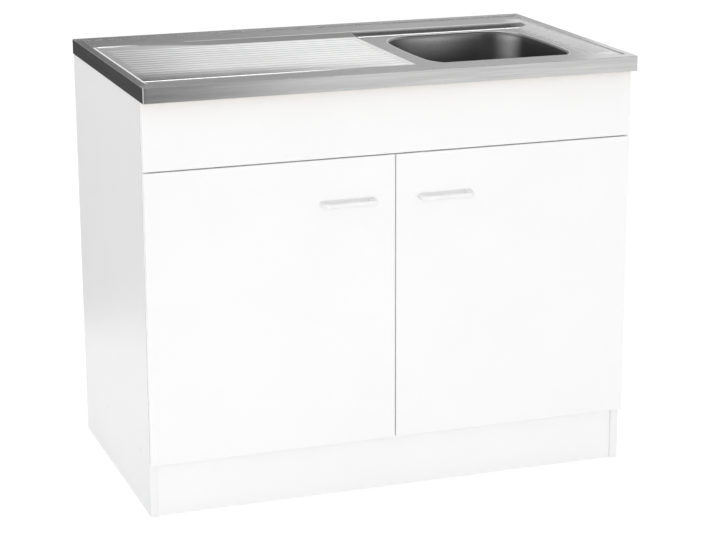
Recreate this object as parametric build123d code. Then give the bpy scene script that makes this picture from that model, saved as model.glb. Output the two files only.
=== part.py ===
from build123d import *
import os

# Kitchen sink unit: a two-door base cabinet of coated board under a lay-on steel sink.
# Frame: origin on the floor at the middle of the unit, +X right, +Y to the wall, +Z up.
# All sizes are millimetres.

# ---- overall sizes -------------------------------------------------------------------
SINK_WIDTH = 1000.0
SINK_DEPTH = 600.0
CARCASS_HEIGHT = 820.0
SIDE_INSET = 2.0            # sink's side edges to the carcass's sides
FRONT_INSET = 41.0          # sink's front edge to the carcass's front
REAR_INSET = 2.0            # sink's rear edge to the carcass's back

# ---- boards --------------------------------------------------------------------------
BOARD = 16.0                # carcass board thickness
FRONT_BOARD = 16.0          # door and fascia thickness
BOTTOM_RISE = 106.5         # floor to the underside of the bottom panel
PLINTH_RECESS = 5.0         # plinth's face behind the carcass front
FRONT_RAIL_HEIGHT = 155.0
REAR_RAIL_HEIGHT = 100.0
LOW_RAIL_HEIGHT = 100.0

# ---- fronts --------------------------------------------------------------------------
FRONT_GAP = 2.0             # doors' back to the carcass front
FRONT_EDGE_INSET = 1.0      # doors' outer edge inside the carcass's side
DOOR_BOTTOM = 111.0         # floor to the doors' lower edge
FASCIA_HEIGHT = 130.2
DOOR_SPLIT_GAP = 2.5        # between the two doors
FASCIA_SPLIT_GAP = 2.6      # between the doors and the fascia
FASCIA_TOP_GAP = 2.0        # fascia's top edge below the sink
EDGE_ROUND = 0.8            # rounding of the fronts' face edges

# ---- screws, dowels and cams -----------------------------------------------------------
BORE_PLAY = 0.2             # clearance round shanks and plugs in their bores
PANEL_SCREW_R = 3.4
PANEL_SCREW_LENGTH = 50.0
PANEL_SCREW_HEAD_R = 5.0
PANEL_SCREW_HEAD = 3.0
PANEL_SCREW_FRONT = 78.0    # front screw behind the carcass front
PANEL_SCREW_REAR = 194.0    # rear screw in front of the carcass back
CAP_R = 6.5
CAP_THICKNESS = 0.8
DOWEL_R = 4.0
DOWEL_LENGTH = 30.0
DOWEL_IN_SIDE = 10.0
DOWEL_END = 28.0            # dowel's and cam's distance from the rail's long edges
CAM_R = 7.5
CAM_DEPTH = 12.5
CAM_SETBACK = 34.0          # cam's centre from the rail's end
CAM_BOLT_R = 3.0
CAM_BOLT_IN_SIDE = 11.0
CAM_BOLT_GAP = 0.5          # bolt's tip to the cam
FASCIA_SCREW_R = 2.0
FASCIA_SCREW_LENGTH = 28.0
FASCIA_SCREW_HEAD_R = 4.0
FASCIA_SCREW_HEAD = 2.5
FASCIA_SCREW_COUNT = 4
FASCIA_SCREW_INSET = 77.0   # outer screws inside the fascia's ends
FASCIA_SCREW_RISE = 70.0    # fascia's lower edge to the screws
SPACER_R = 8.0
BUFFER_R = 4.0
BUFFER_X = 30.0             # buffers each side of the middle
BUFFER_DROP = 6.0           # buffers below the bottom panel's top face

# ---- handles ---------------------------------------------------------------------------
HANDLE_HOLE_SPACING = 96.0
HANDLE_LENGTH = 112.0
HANDLE_PROJECTION = 30.0
HANDLE_HEIGHT = 9.0
HANDLE_BAR = 8.0            # bar thickness, front to back
HANDLE_FOOT = 12.0          # foot width along the bar
HANDLE_OUTER_R = 11.0
HANDLE_INNER_R = 5.0
HANDLE_EDGE_R = 3.0
HANDLE_CENTRE = 100.0       # handle's middle from the unit's middle
HANDLE_DROP = 85.8          # handle's middle below the door's top edge
HANDLE_SCREW_R = 2.0
HANDLE_SCREW_IN_FOOT = 9.0
HANDLE_SCREW_HEAD_R = 4.0
HANDLE_SCREW_HEAD = 2.2

# ---- door hinges: u runs inward from the side's outer face, v forward from its edge -----
HINGE_INSET = 90.0          # hinge's middle from the door's top and bottom edges
CUP_R = 17.5
CUP_DEPTH = 11.5
CUP_EDGE = 5.0              # board left between the cup and the door's outer edge
CUP_WALL = 1.2
CUP_PLAY = 0.1
FLANGE = 1.0                # cup flange thickness
FLANGE_WIDTH = 17.0
FLANGE_HEIGHT = 62.0
FLANGE_CORNER_R = 4.0
CUP_SCREW_SPACING = 48.0
CUP_SCREW_OFFSET = 9.5      # screw line inward of the cup's centre
CUP_SCREW_R = 1.7
CUP_SCREW_LENGTH = 12.0
CUP_SCREW_HEAD_R = 3.2
CUP_SCREW_HEAD = 0.8
PIVOT_U = 21.0              # link's pin on the arm
PIVOT_V = 6.0
LINK_LENGTH = 15.0
LINK_ANGLE = 10.0
LINK_HALF_WIDTH = 2.2
LINK_HEIGHT = 8.0
PIN_R = 1.25
PIN_RUNNING = 0.05
CHEEK_GAP = 0.3             # between the link and each arm cheek
CHEEK = 1.6
CHEEK_R = 3.2
PLATE_THICKNESS = 3.0
PLATE_WING = 44.0           # mounting plate's height over its screw ears
PLATE_EAR = 12.0
PLATE_LENGTH = 38.0
PLATE_START = 28.0          # plate's front end behind the carcass front
SCREW_LINE = 37.0           # plate screws behind the carcass front
PLATE_SCREW_SPACING = 32.0
PLATE_SCREW_R = 3.0
PLATE_SCREW_DEPTH = 11.0
PLATE_SCREW_HEAD_R = 4.2
PLATE_SCREW_HEAD = 1.5
ARM_THICKNESS = 8.0
ARM_HEIGHT = 14.0
ARM_CORNER_R = 2.8
ARM_FRONT = 8.0             # arm block's front end behind the carcass front
ARM_SCREW_BACK = 54.0       # arm screw behind the carcass front
ARM_SCREW_R = 2.5

# ---- sink pressing ---------------------------------------------------------------------
SHEET = 1.0                 # steel thickness
SINK_EDGE = 30.0            # height of the folded apron
SINK_CORNER_R = 3.0
RIM_STEP = 1.5              # raised outer rim above the deck
RIM_SIDE = 16.0
RIM_FRONT = 28.0
RIM_BACK = 28.0
FIELD_LEFT = 20.0           # sunken field's edges inside the sink's edges
FIELD_RIGHT = 25.0
FIELD_FRONT = 72.0
FIELD_BACK = 110.0
FIELD_CORNER_R = 40.0
DRAINER_HIGH = 1.5          # drainer floor below the deck at its left end
DRAINER_LOW = 4.5           # and at its right end
DRAINER_END = 44.0          # drainer's right end to the bowl
BASIN_DROP = 7.0            # floor round the bowl below the deck
STEP_RUN = 6.0              # slope between drainer and bowl floor
RAMP_BACK = 30.0            # soft slope along the rear ledge
RAMP_RIGHT = 35.0
RAMP_FRONT = 3.0
RAMP_END_DROP = 0.3         # depth left where the right slope meets the deck
RIB_PITCH = 25.0
RIB_MARGIN = 24.0           # least flat floor beside the outer ribs' middles
RIB_WIDTH = 12.0
RIB_TOP = 5.0
RIB_RISE = 1.6
RIB_START = 12.0            # ribs' ends inside the drainer
BOWL_LENGTH = 308.0
BOWL_WIDTH = 357.0
BOWL_RIGHT = 80.0           # bowl's right edge inside the sink's edge
BOWL_FRONT = 85.0           # bowl's front edge inside the sink's edge
BOWL_CORNER_R = 75.0
BOWL_DEPTH = 150.0
BOWL_TAPER = 3.0            # degrees
BOWL_FLOOR_R = 30.0
BOWL_LIP = 5.0              # bevel round the bowl's mouth
SEAM_MARGIN = 3.0           # flat sheet kept round the bevel at the seams

# ---- sink supports ---------------------------------------------------------------------
BATTEN_FRONT_DEPTH = 64.0
BATTEN_BACK_DEPTH = 80.0
BATTEN_LEFT_WIDTH = 58.0
BATTEN_RIGHT_WIDTH = 66.0
BATTEN_PLAY = 0.1
PAD_THICKNESS = 3.0
PAD_LENGTH = 170.0
PAD_WIDTH = 190.0
BRACKET = 1.5
BRACKET_LEG = 22.0
BRACKET_WIDTH = 20.0
BRACKET_FRONT = 180.0       # brackets' middles inside the sink's edges
BRACKET_BACK = 150.0
BRACKET_SCREW_R = 1.7
BRACKET_SCREW_LENGTH = 13.0
BRACKET_SCREW_HEAD_R = 3.4
BRACKET_SCREW_HEAD = 1.6
BRACKET_HOLE = 12.0         # bracket's corner to its screws

# ---- waste and trap --------------------------------------------------------------------
WASTE_HOLE_R = 27.0
WASTE_FLANGE_R = 35.0
WASTE_FLANGE = 2.0
WASTE_SEAT_R = 21.0
WASTE_SKIRT_R = 24.0
WASTE_SKIRT = 14.0
CROSS_BAR = 4.0
CROSS_THICKNESS = 2.0
CROSS_IN_RING = 1.0         # cross bars' reach into the skirt
CROSS_HUB_R = 6.5
GASKET_R = 36.0
GASKET = 2.0
WASTE_SCREW_R = 3.0
WASTE_SCREW_LENGTH = 24.0
WASTE_SCREW_HEAD_R = 4.5
WASTE_SCREW_HEAD = 2.5
CUP_FLOOR = 16.0            # waste body's bowl below its flange
WASTE_CONE = 5.0            # outer cone between that bowl and the neck
BOSS_R = 7.0
BOSS_BELOW = 4.0            # nut boss below and above the screw's tip
BOSS_ABOVE = 8.0
WEB_IN_NECK = 1.0           # boss web's reach into the neck's wall
WASTE_BODY_FLANGE = 4.0
WASTE_BODY_R = 31.0
WASTE_BODY_WALL = 2.5
TAIL_R = 20.0               # 40 mm pipe
TAIL_WALL = 2.0
NECK_R = 23.5
NECK_LENGTH = 34.0
NUT_R = 29.0
NUT_LENGTH = 22.0
NUT_TOP = 12.0              # union nut's top below the waste body's bowl
TAIL_LENGTH = 90.0
TRAP_R = 36.0
TRAP_WALL = 2.5
TRAP_HEIGHT = 92.0
TRAP_SHOULDER = 5.0         # height of the sloped shoulder
TRAP_COLLAR = 5.0           # wall of the inlet collar
TRAP_COLLAR_HEIGHT = 18.0
TRAP_TAIL_DEPTH = 48.0      # tail pipe's reach into the trap
TRAP_OUTLET_DROP = 24.0     # outlet's axis below the trap's top
TRAP_CUP_R = 39.5
TRAP_CUP_HEIGHT = 34.0
TRAP_CUP_OVERLAP = 16.0
TRAP_CUP_BEVEL = 7.5
OUTLET_SOCKET = 24.0
OUTLET_SOCKET_R = 23.5
OUTLET_SPIGOT_R = 19.5      # outlet pipe where it stands in the socket
OUTLET_NUT = 18.0
OUTLET_NUT_OVER = 12.0      # nut's reach over the socket
OUTLET_NUT_R = 28.0
OUTLET_END = 6.0            # outlet pipe's end in front of the carcass's back
PIPE_PLAY = 0.2
PLUG_PLAY = 0.5
PLUG_COLLAR_R = 24.0
PLUG_COLLAR = 3.0
PLUG_COLLAR_BEVEL = 3.0
PLUG_REACH = 8.0
PLUG_TAPER = 2.0
PLUG_KNOB_R = 4.0
PLUG_KNOB = 12.0
PLUG_KNOB_HEAD = 4.0
PLUG_KNOB_TOP_R = 7.0

# ---- places worked out from the sizes --------------------------------------------------
HALF_SINK = SINK_WIDTH / 2
HALF_CARCASS = HALF_SINK - SIDE_INSET
HALF_INSIDE = HALF_CARCASS - BOARD
SINK_BACK_Y = SINK_DEPTH / 2
SINK_FRONT_Y = -SINK_DEPTH / 2
BACK_Y = SINK_BACK_Y - REAR_INSET
FRONT_Y = SINK_FRONT_Y + FRONT_INSET
DOOR_BACK_Y = FRONT_Y - FRONT_GAP
DOOR_FRONT_Y = DOOR_BACK_Y - FRONT_BOARD
BOTTOM_TOP = BOTTOM_RISE + BOARD
FASCIA_TOP = CARCASS_HEIGHT - FASCIA_TOP_GAP
FASCIA_BOTTOM = FASCIA_TOP - FASCIA_HEIGHT
DOOR_TOP = FASCIA_BOTTOM - FASCIA_SPLIT_GAP
HALF_FRONT = HALF_CARCASS - FRONT_EDGE_INSET
FASCIA_SCREW_STEP = 2 * (HALF_FRONT - FASCIA_SCREW_INSET) / (FASCIA_SCREW_COUNT - 1)
FASCIA_SCREW_XS = [
    FASCIA_SCREW_INSET - HALF_FRONT + FASCIA_SCREW_STEP * index for index in range(FASCIA_SCREW_COUNT)]
FASCIA_SCREW_Z = FASCIA_BOTTOM + FASCIA_SCREW_RISE
RAIL_BOTTOM = CARCASS_HEIGHT - FRONT_RAIL_HEIGHT
HANDLE_Z = DOOR_TOP - HANDLE_DROP
HINGE_ZS = (DOOR_BOTTOM + HINGE_INSET, DOOR_TOP - HINGE_INSET)
CUP_U = FRONT_EDGE_INSET + CUP_EDGE + CUP_R

SINK_TOP = CARCASS_HEIGHT + SINK_EDGE
CLEAR_Z = SINK_TOP + SINK_EDGE
DECK_Z = SINK_TOP - RIM_STEP
BASIN_Z = DECK_Z - BASIN_DROP
FIELD_X0 = -HALF_SINK + FIELD_LEFT
FIELD_X1 = HALF_SINK - FIELD_RIGHT
FIELD_Y0 = SINK_FRONT_Y + FIELD_FRONT
FIELD_Y1 = SINK_BACK_Y - FIELD_BACK
FIELD_FLOOR_Y0 = FIELD_Y0 + RAMP_FRONT
FIELD_FLOOR_Y1 = FIELD_Y1 - RAMP_BACK
BOWL_X = HALF_SINK - BOWL_RIGHT - BOWL_LENGTH / 2
BOWL_Y = SINK_FRONT_Y + BOWL_FRONT + BOWL_WIDTH / 2
BOWL_FLOOR_Z = BASIN_Z - BOWL_DEPTH
DRAINER_X1 = BOWL_X - BOWL_LENGTH / 2 - DRAINER_END
BRACKET_YS = (SINK_FRONT_Y + BRACKET_FRONT, SINK_BACK_Y - BRACKET_BACK)

GASKET_Z = BOWL_FLOOR_Z - SHEET
WASTE_BODY_Z = GASKET_Z - GASKET
CUP_FLOOR_Z = WASTE_BODY_Z - WASTE_BODY_FLANGE - CUP_FLOOR
NECK_END_Z = CUP_FLOOR_Z - NECK_LENGTH
CROSS_Z = BOWL_FLOOR_Z - WASTE_SKIRT
CROSS_TOP_Z = CROSS_Z + CROSS_THICKNESS
TAIL_TOP_Z = NECK_END_Z
TRAP_TOP_Z = TAIL_TOP_Z - TAIL_LENGTH + TRAP_TAIL_DEPTH
TRAP_BOTTOM_Z = TRAP_TOP_Z - TRAP_HEIGHT
OUTLET_Z = TRAP_TOP_Z - TRAP_OUTLET_DROP
SOCKET_END_Y = BOWL_Y + TRAP_R + OUTLET_SOCKET
OUTLET_NUT_Y0 = SOCKET_END_Y - OUTLET_NUT_OVER
OUTLET_NUT_Y1 = OUTLET_NUT_Y0 + OUTLET_NUT


# ---- helpers ---------------------------------------------------------------------------
def block(x, y, z):
    """A box from three (low, high) pairs."""
    size = [high - low for low, high in (x, y, z)]
    middle = [(low + high) / 2 for low, high in (x, y, z)]
    return Pos(*middle) * Box(*size)


def rod_x(x, y, z, radius):
    """A cylinder along X between the pair x."""
    return Pos((x[0] + x[1]) / 2, y, z) * Rot(0, 90, 0) * Cylinder(radius, x[1] - x[0])


def rod_y(x, y, z, radius):
    """A cylinder along Y between the pair y."""
    return Pos(x, (y[0] + y[1]) / 2, z) * Rot(90, 0, 0) * Cylinder(radius, y[1] - y[0])


def rod_z(x, y, z, radius):
    """A cylinder along Z between the pair z."""
    return Pos(x, y, (z[0] + z[1]) / 2) * Cylinder(radius, z[1] - z[0])


def mirrored(shape):
    """The same piece on the unit's other side."""
    return mirror(shape, about=Plane.YZ)


def both_sides(shapes):
    """The given left-hand solids and their right-hand twins."""
    return shapes + [mirrored(shape) for shape in shapes]


def slab(x, y, z, radius):
    """A plate with rounded upright corners."""
    outline = Rectangle(x[1] - x[0], y[1] - y[0])
    if radius > 0:
        outline = fillet(outline.vertices(), radius)
    return Pos((x[0] + x[1]) / 2, (y[0] + y[1]) / 2, z[0]) * extrude(outline, z[1] - z[0])


def turned(profile, x, y):
    """A profile of (radius, height) points turned about the upright line at x, y."""
    face = make_face(Polyline([(r, 0, z) for r, z in profile], close=True))
    return Pos(x, y, 0) * revolve(face, Axis.Z)


def ruled(profile_a, x_a, profile_b, x_b):
    """A ruled solid between two (y, z) outlines that stand at x_a and x_b."""
    ends = []
    for points, x in ((profile_a, x_a), (profile_b, x_b)):
        ends.append(make_face(Polyline([(x, y, z) for y, z in points], close=True)))
    return loft(ends, ruled=True)


# ---- carcass ---------------------------------------------------------------------------
def rail_ends(z):
    """Heights of the dowel and the cam in the end of a rail that spans the pair z."""
    return z[1] - DOWEL_END, z[0] + DOWEL_END


REAR_Y = (BACK_Y - BOARD, BACK_Y)
PLINTH_Y = (FRONT_Y + PLINTH_RECESS, FRONT_Y + PLINTH_RECESS + BOARD)
RAILS = {
    "front_rail": ((FRONT_Y, FRONT_Y + BOARD), (RAIL_BOTTOM, CARCASS_HEIGHT), 1),
    "rear_rail_upper": (REAR_Y, (CARCASS_HEIGHT - REAR_RAIL_HEIGHT, CARCASS_HEIGHT), -1),
    "rear_rail_lower": (REAR_Y, (BOTTOM_TOP, BOTTOM_TOP + LOW_RAIL_HEIGHT), -1),
    "plinth_board": (PLINTH_Y, (0.0, BOTTOM_RISE), 1),
}
SCREW_YS = (FRONT_Y + PANEL_SCREW_FRONT, BACK_Y - PANEL_SCREW_REAR)
SCREW_Z = BOTTOM_RISE + BOARD / 2


def rail_dowel(y, z, grow):
    """The left dowel of a rail."""
    x0 = -HALF_INSIDE - DOWEL_IN_SIDE
    return rod_x((x0 - grow, x0 + DOWEL_LENGTH + grow), sum(y) / 2, rail_ends(z)[0], DOWEL_R + grow)


def rail_cam_bolt(y, z, grow):
    """The left cam bolt of a rail."""
    x0 = -HALF_INSIDE - CAM_BOLT_IN_SIDE
    x1 = -HALF_INSIDE + CAM_SETBACK - CAM_R - CAM_BOLT_GAP
    return rod_x((x0 - grow, x1 + grow), sum(y) / 2, rail_ends(z)[1], CAM_BOLT_R + grow)


def rail_cam(y, z, inward, grow):
    """The left cam housing, let into the rail's inner face."""
    face = y[1] if inward > 0 else y[0]
    ends = sorted((face, face - inward * (CAM_DEPTH + grow)))
    return rod_y(-HALF_INSIDE + CAM_SETBACK, ends, rail_ends(z)[1], CAM_R + grow)


def rail(y, z, inward):
    """A rail between the sides, bored for its dowels and cams."""
    board = block((-HALF_INSIDE, HALF_INSIDE), y, z)
    bores = [rail_dowel(y, z, BORE_PLAY), rail_cam_bolt(y, z, BORE_PLAY)]
    for bore in both_sides(bores + [rail_cam(y, z, inward, BORE_PLAY)]):
        board -= bore
    return board


def front_rail_bored():
    """The front rail with the fascia screws' holes."""
    y, z, inward = RAILS["front_rail"]
    board = rail(y, z, inward)
    for x in FASCIA_SCREW_XS:
        board -= rod_y(x, y, FASCIA_SCREW_Z, FASCIA_SCREW_R + BORE_PLAY)
    return board


def panel_screw(y, grow):
    """A left-hand panel screw: head sunk in the side panel, shank into the bottom panel."""
    x0 = -HALF_CARCASS
    head = rod_x((x0, x0 + PANEL_SCREW_HEAD + grow), y, SCREW_Z, PANEL_SCREW_HEAD_R + grow)
    return head + rod_x((x0, x0 + PANEL_SCREW_LENGTH + grow), y, SCREW_Z, PANEL_SCREW_R + grow)


def cover_cap(y):
    """A plastic cap over a panel screw's head."""
    cap = rod_x((-HALF_CARCASS - CAP_THICKNESS, -HALF_CARCASS), y, SCREW_Z, CAP_R)
    return fillet(cap.edges().sort_by(Axis.X)[0], CAP_THICKNESS / 2)


def side_panel_left():
    """The left side, bored for rails, screws and hinge plates."""
    board = block((-HALF_CARCASS, -HALF_INSIDE), (FRONT_Y, BACK_Y), (0, CARCASS_HEIGHT))
    for y, z, inward in RAILS.values():
        board -= rail_dowel(y, z, BORE_PLAY)
        board -= rail_cam_bolt(y, z, BORE_PLAY)
    for y in SCREW_YS:
        board -= panel_screw(y, BORE_PLAY)
    for z in HINGE_ZS:
        for screw in plate_screws(z, BORE_PLAY):
            board -= screw
    for y in BRACKET_YS:
        board -= bracket_side_screw(y, BORE_PLAY)
    return board


def bottom_panel():
    """The bottom panel, bored at its ends for the panel screws."""
    board = block((-HALF_INSIDE, HALF_INSIDE), (FRONT_Y, BACK_Y), (BOTTOM_RISE, BOTTOM_TOP))
    for bore in both_sides([panel_screw(y, BORE_PLAY) for y in SCREW_YS]):
        board -= bore
    return board


def door_buffers():
    """Soft dots on the bottom panel's front edge that the doors close on."""
    z = BOTTOM_TOP - BUFFER_DROP
    return [rod_y(x, (DOOR_BACK_Y, FRONT_Y), z, BUFFER_R) for x in (-BUFFER_X, BUFFER_X)]


# ---- fascia ----------------------------------------------------------------------------
def eased(board):
    """A front board with its face edges lightly rounded."""
    front = board.faces().sort_by(Axis.Y)[0]
    return fillet(front.edges(), EDGE_ROUND)


def fascia_screw(x, grow):
    """A screw through the front rail and a spacer into the fascia, head inside the carcass."""
    y1 = FRONT_Y + BOARD
    return rod_y(x, (y1 - FASCIA_SCREW_LENGTH - grow, y1), FASCIA_SCREW_Z, FASCIA_SCREW_R + grow)


def fascia_panel():
    """The fixed board above the doors."""
    board = block((-HALF_FRONT, HALF_FRONT), (DOOR_FRONT_Y, DOOR_BACK_Y), (FASCIA_BOTTOM, FASCIA_TOP))
    board = eased(board)
    for x in FASCIA_SCREW_XS:
        board -= fascia_screw(x, BORE_PLAY)
    return board


def fascia_spacers():
    """Distance rings that hold the fascia in the doors' plane."""
    rings = []
    y, hole_r = (DOOR_BACK_Y, FRONT_Y), FASCIA_SCREW_R + BORE_PLAY
    for x in FASCIA_SCREW_XS:
        rings.append(rod_y(x, y, FASCIA_SCREW_Z, SPACER_R) - rod_y(x, y, FASCIA_SCREW_Z, hole_r))
    return rings


def fascia_screws():
    """The fascia's screws, heads on the rail's inner face."""
    y = (FRONT_Y + BOARD, FRONT_Y + BOARD + FASCIA_SCREW_HEAD)
    heads = [rod_y(x, y, FASCIA_SCREW_Z, FASCIA_SCREW_HEAD_R) for x in FASCIA_SCREW_XS]
    return [fascia_screw(x, 0) + head for x, head in zip(FASCIA_SCREW_XS, heads)]


# ---- hinges, left-hand -----------------------------------------------------------------
def to_x(u):
    return -HALF_CARCASS + u


def to_y(v):
    return FRONT_Y - v


def hinge_block(u, v, z):
    """A box in hinge coordinates, with z measured from the pair's middle height."""
    return block((to_x(u[0]), to_x(u[1])), (to_y(v[1]), to_y(v[0])), z)


def bar(u0, v0, u1, v1, half_width, z):
    """A round-ended flat bar between two points in hinge coordinates."""
    start, end = Vector(to_x(u0), to_y(v0)), Vector(to_x(u1), to_y(v1))
    run = end - start
    middle = (start + end) * 0.5
    turn = Rot(0, 0, Vector(1, 0).get_signed_angle(run, Vector(0, 0, 1)))
    outline = SlotCenterToCenter(run.length, 2 * half_width)
    return Pos(middle.X, middle.Y, z[0]) * turn * extrude(outline, z[1] - z[0])


def cup_bore(z, grow):
    """The hinge cup's outside as a cylinder in the door's back face."""
    ys = (DOOR_BACK_Y - CUP_DEPTH - grow, DOOR_BACK_Y)
    return rod_y(to_x(CUP_U), ys, z, CUP_R - CUP_PLAY + grow)


def cup_screw_places(z):
    u = CUP_U + CUP_SCREW_OFFSET
    return [(to_x(u), z + side * CUP_SCREW_SPACING / 2) for side in (-1, 1)]


def hinge_cup(z):
    """A pressed cup with its screw flange."""
    y0, y1 = DOOR_BACK_Y, DOOR_BACK_Y + FLANGE
    u0 = CUP_U + CUP_SCREW_OFFSET - FLANGE_WIDTH / 2
    flange = block(
        (to_x(u0), to_x(u0 + FLANGE_WIDTH)), (y0, y1), (z - FLANGE_HEIGHT / 2, z + FLANGE_HEIGHT / 2))
    flange = fillet(flange.edges().filter_by(Axis.Y), FLANGE_CORNER_R)
    cup = cup_bore(z, 0) + flange + rod_y(to_x(CUP_U), (y0, y1), z, CUP_R)
    cup -= rod_y(to_x(CUP_U), (DOOR_BACK_Y - CUP_DEPTH + CUP_WALL, y1), z, CUP_R - CUP_WALL)
    for x, screw_z in cup_screw_places(z):
        cup -= rod_y(x, (y0, y1), screw_z, CUP_SCREW_R + BORE_PLAY)
    return cup


def cup_screw_shanks(z, grow):
    y1 = DOOR_BACK_Y + FLANGE
    return [rod_y(x, (y1 - CUP_SCREW_LENGTH - grow, y1), sz, CUP_SCREW_R + grow)
            for x, sz in cup_screw_places(z)]


def cup_screws(z):
    """The two screws of a hinge cup."""
    y1 = DOOR_BACK_Y + FLANGE
    heads = [
        rod_y(x, (y1, y1 + CUP_SCREW_HEAD), sz, CUP_SCREW_HEAD_R) for x, sz in cup_screw_places(z)]
    return [shank + head for shank, head in zip(cup_screw_shanks(z, 0), heads)]


def hinge_link(z):
    """The link that swings between the arm's pin and the cup."""
    tip = Vector(LINK_LENGTH, 0).rotate(Axis.Z, LINK_ANGLE)
    span = (z - LINK_HEIGHT / 2, z + LINK_HEIGHT / 2)
    link = bar(PIVOT_U, PIVOT_V, PIVOT_U + tip.X, PIVOT_V + tip.Y, LINK_HALF_WIDTH, span)
    return link - rod_z(to_x(PIVOT_U), to_y(PIVOT_V), span, PIN_R + PIN_RUNNING)


def cheek_spans(z):
    """Heights of the arm's two cheeks, each side of the link."""
    inner = LINK_HEIGHT / 2 + CHEEK_GAP
    return [(z - inner - CHEEK, z - inner), (z + inner, z + inner + CHEEK)]


def hinge_pin(z):
    """The pin through the cheeks and the link."""
    spans = cheek_spans(z)
    return rod_z(to_x(PIVOT_U), to_y(PIVOT_V), (spans[0][0], spans[1][1]), PIN_R)


def hinge_arm(z):
    """The arm on its plate, with two cheeks that reach into the cup."""
    u0 = BOARD + PLATE_THICKNESS
    v = (-PLATE_START - PLATE_LENGTH, -ARM_FRONT)
    arm = hinge_block((u0, u0 + ARM_THICKNESS), v, (z - ARM_HEIGHT / 2, z + ARM_HEIGHT / 2))
    arm = fillet(arm.edges().filter_by(Axis.X), ARM_CORNER_R)
    for span in cheek_spans(z):
        arm += bar(PIVOT_U, PIVOT_V, u0 + CHEEK_R, -ARM_FRONT - CHEEK_R, CHEEK_R, span)
    pin_spans = cheek_spans(z)
    arm -= rod_z(to_x(PIVOT_U), to_y(PIVOT_V), (pin_spans[0][0], pin_spans[1][1]), PIN_R)
    return arm - arm_screw_shank(z, BORE_PLAY)


def arm_screw_shank(z, grow):
    x = (to_x(BOARD) + PLATE_THICKNESS / 2 - grow, to_x(BOARD) + PLATE_THICKNESS + ARM_THICKNESS)
    return rod_x(x, to_y(-ARM_SCREW_BACK), z, ARM_SCREW_R + grow)


def arm_screw(z):
    """The screw that clamps the arm to its plate."""
    x1 = to_x(BOARD) + PLATE_THICKNESS + ARM_THICKNESS
    head = rod_x((x1, x1 + PLATE_SCREW_HEAD), to_y(-ARM_SCREW_BACK), z, PLATE_SCREW_HEAD_R)
    return arm_screw_shank(z, 0) + head


def plate_screws(z, grow):
    """The shanks of a mounting plate's screws."""
    x = (to_x(BOARD) - PLATE_SCREW_DEPTH - grow, to_x(BOARD) + PLATE_THICKNESS)
    zs = (z - PLATE_SCREW_SPACING / 2, z + PLATE_SCREW_SPACING / 2)
    return [rod_x(x, to_y(-SCREW_LINE), screw_z, PLATE_SCREW_R + grow) for screw_z in zs]


def plate_screws_with_heads(z):
    """A mounting plate's two screws."""
    x1 = to_x(BOARD) + PLATE_THICKNESS
    zs = (z - PLATE_SCREW_SPACING / 2, z + PLATE_SCREW_SPACING / 2)
    heads = [
        rod_x((x1, x1 + PLATE_SCREW_HEAD), to_y(-SCREW_LINE), sz, PLATE_SCREW_HEAD_R) for sz in zs]
    return [shank + head for shank, head in zip(plate_screws(z, 0), heads)]


def hinge_plate(z):
    """The cross-shaped mounting plate on the side panel."""
    u = (BOARD, BOARD + PLATE_THICKNESS)
    half = ARM_HEIGHT / 2
    ear_v = (-SCREW_LINE - PLATE_EAR / 2, -SCREW_LINE + PLATE_EAR / 2)
    plate = hinge_block(u, (-PLATE_START - PLATE_LENGTH, -PLATE_START), (z - half, z + half))
    plate += hinge_block(u, ear_v, (z - PLATE_WING / 2, z + PLATE_WING / 2))
    for screw in plate_screws(z, BORE_PLAY):
        plate -= screw
    return plate - arm_screw_shank(z, BORE_PLAY)


# ---- doors and handles, left-hand ------------------------------------------------------
def handle_holes():
    half = HANDLE_HOLE_SPACING / 2
    return (-HANDLE_CENTRE - half, -HANDLE_CENTRE + half)


def handle_screw_shank(x, grow):
    y0 = DOOR_FRONT_Y - HANDLE_SCREW_IN_FOOT
    return rod_y(x, (y0 - grow, DOOR_BACK_Y), HANDLE_Z, HANDLE_SCREW_R + grow)


def handle_screws_left():
    """Two screws through the door into the handle's feet."""
    y = (DOOR_BACK_Y, DOOR_BACK_Y + HANDLE_SCREW_HEAD)
    heads = [rod_y(x, y, HANDLE_Z, HANDLE_SCREW_HEAD_R) for x in handle_holes()]
    return [handle_screw_shank(x, 0) + head for x, head in zip(handle_holes(), heads)]


def handle_left():
    """A bow handle: a flat loop whose two feet stand on the door."""
    outer = Pos(0, -HANDLE_PROJECTION / 2) * Rectangle(HANDLE_LENGTH, HANDLE_PROJECTION)
    outer = fillet(outer.vertices().group_by(Axis.Y)[0], HANDLE_OUTER_R)
    gap_depth = HANDLE_PROJECTION - HANDLE_BAR
    inner = Pos(0, -gap_depth / 2) * Rectangle(HANDLE_LENGTH - 2 * HANDLE_FOOT, gap_depth)
    inner = fillet(inner.vertices().group_by(Axis.Y)[0], HANDLE_INNER_R)
    bow = extrude(outer - inner, HANDLE_HEIGHT)
    bow = Pos(-HANDLE_CENTRE, DOOR_FRONT_Y, HANDLE_Z - HANDLE_HEIGHT / 2) * bow
    faces = bow.faces().filter_by(Axis.Z)
    seat = [edge for edge in bow.edges() if edge.center().Y > DOOR_FRONT_Y - EDGE_ROUND / 2]
    rims = [edge for face in faces for edge in face.edges()]
    rims = [edge for edge in rims if not any(edge.center() == other.center() for other in seat)]
    bow = fillet(rims, HANDLE_EDGE_R)
    for x in handle_holes():
        bow -= handle_screw_shank(x, BORE_PLAY)
    return bow


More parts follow.
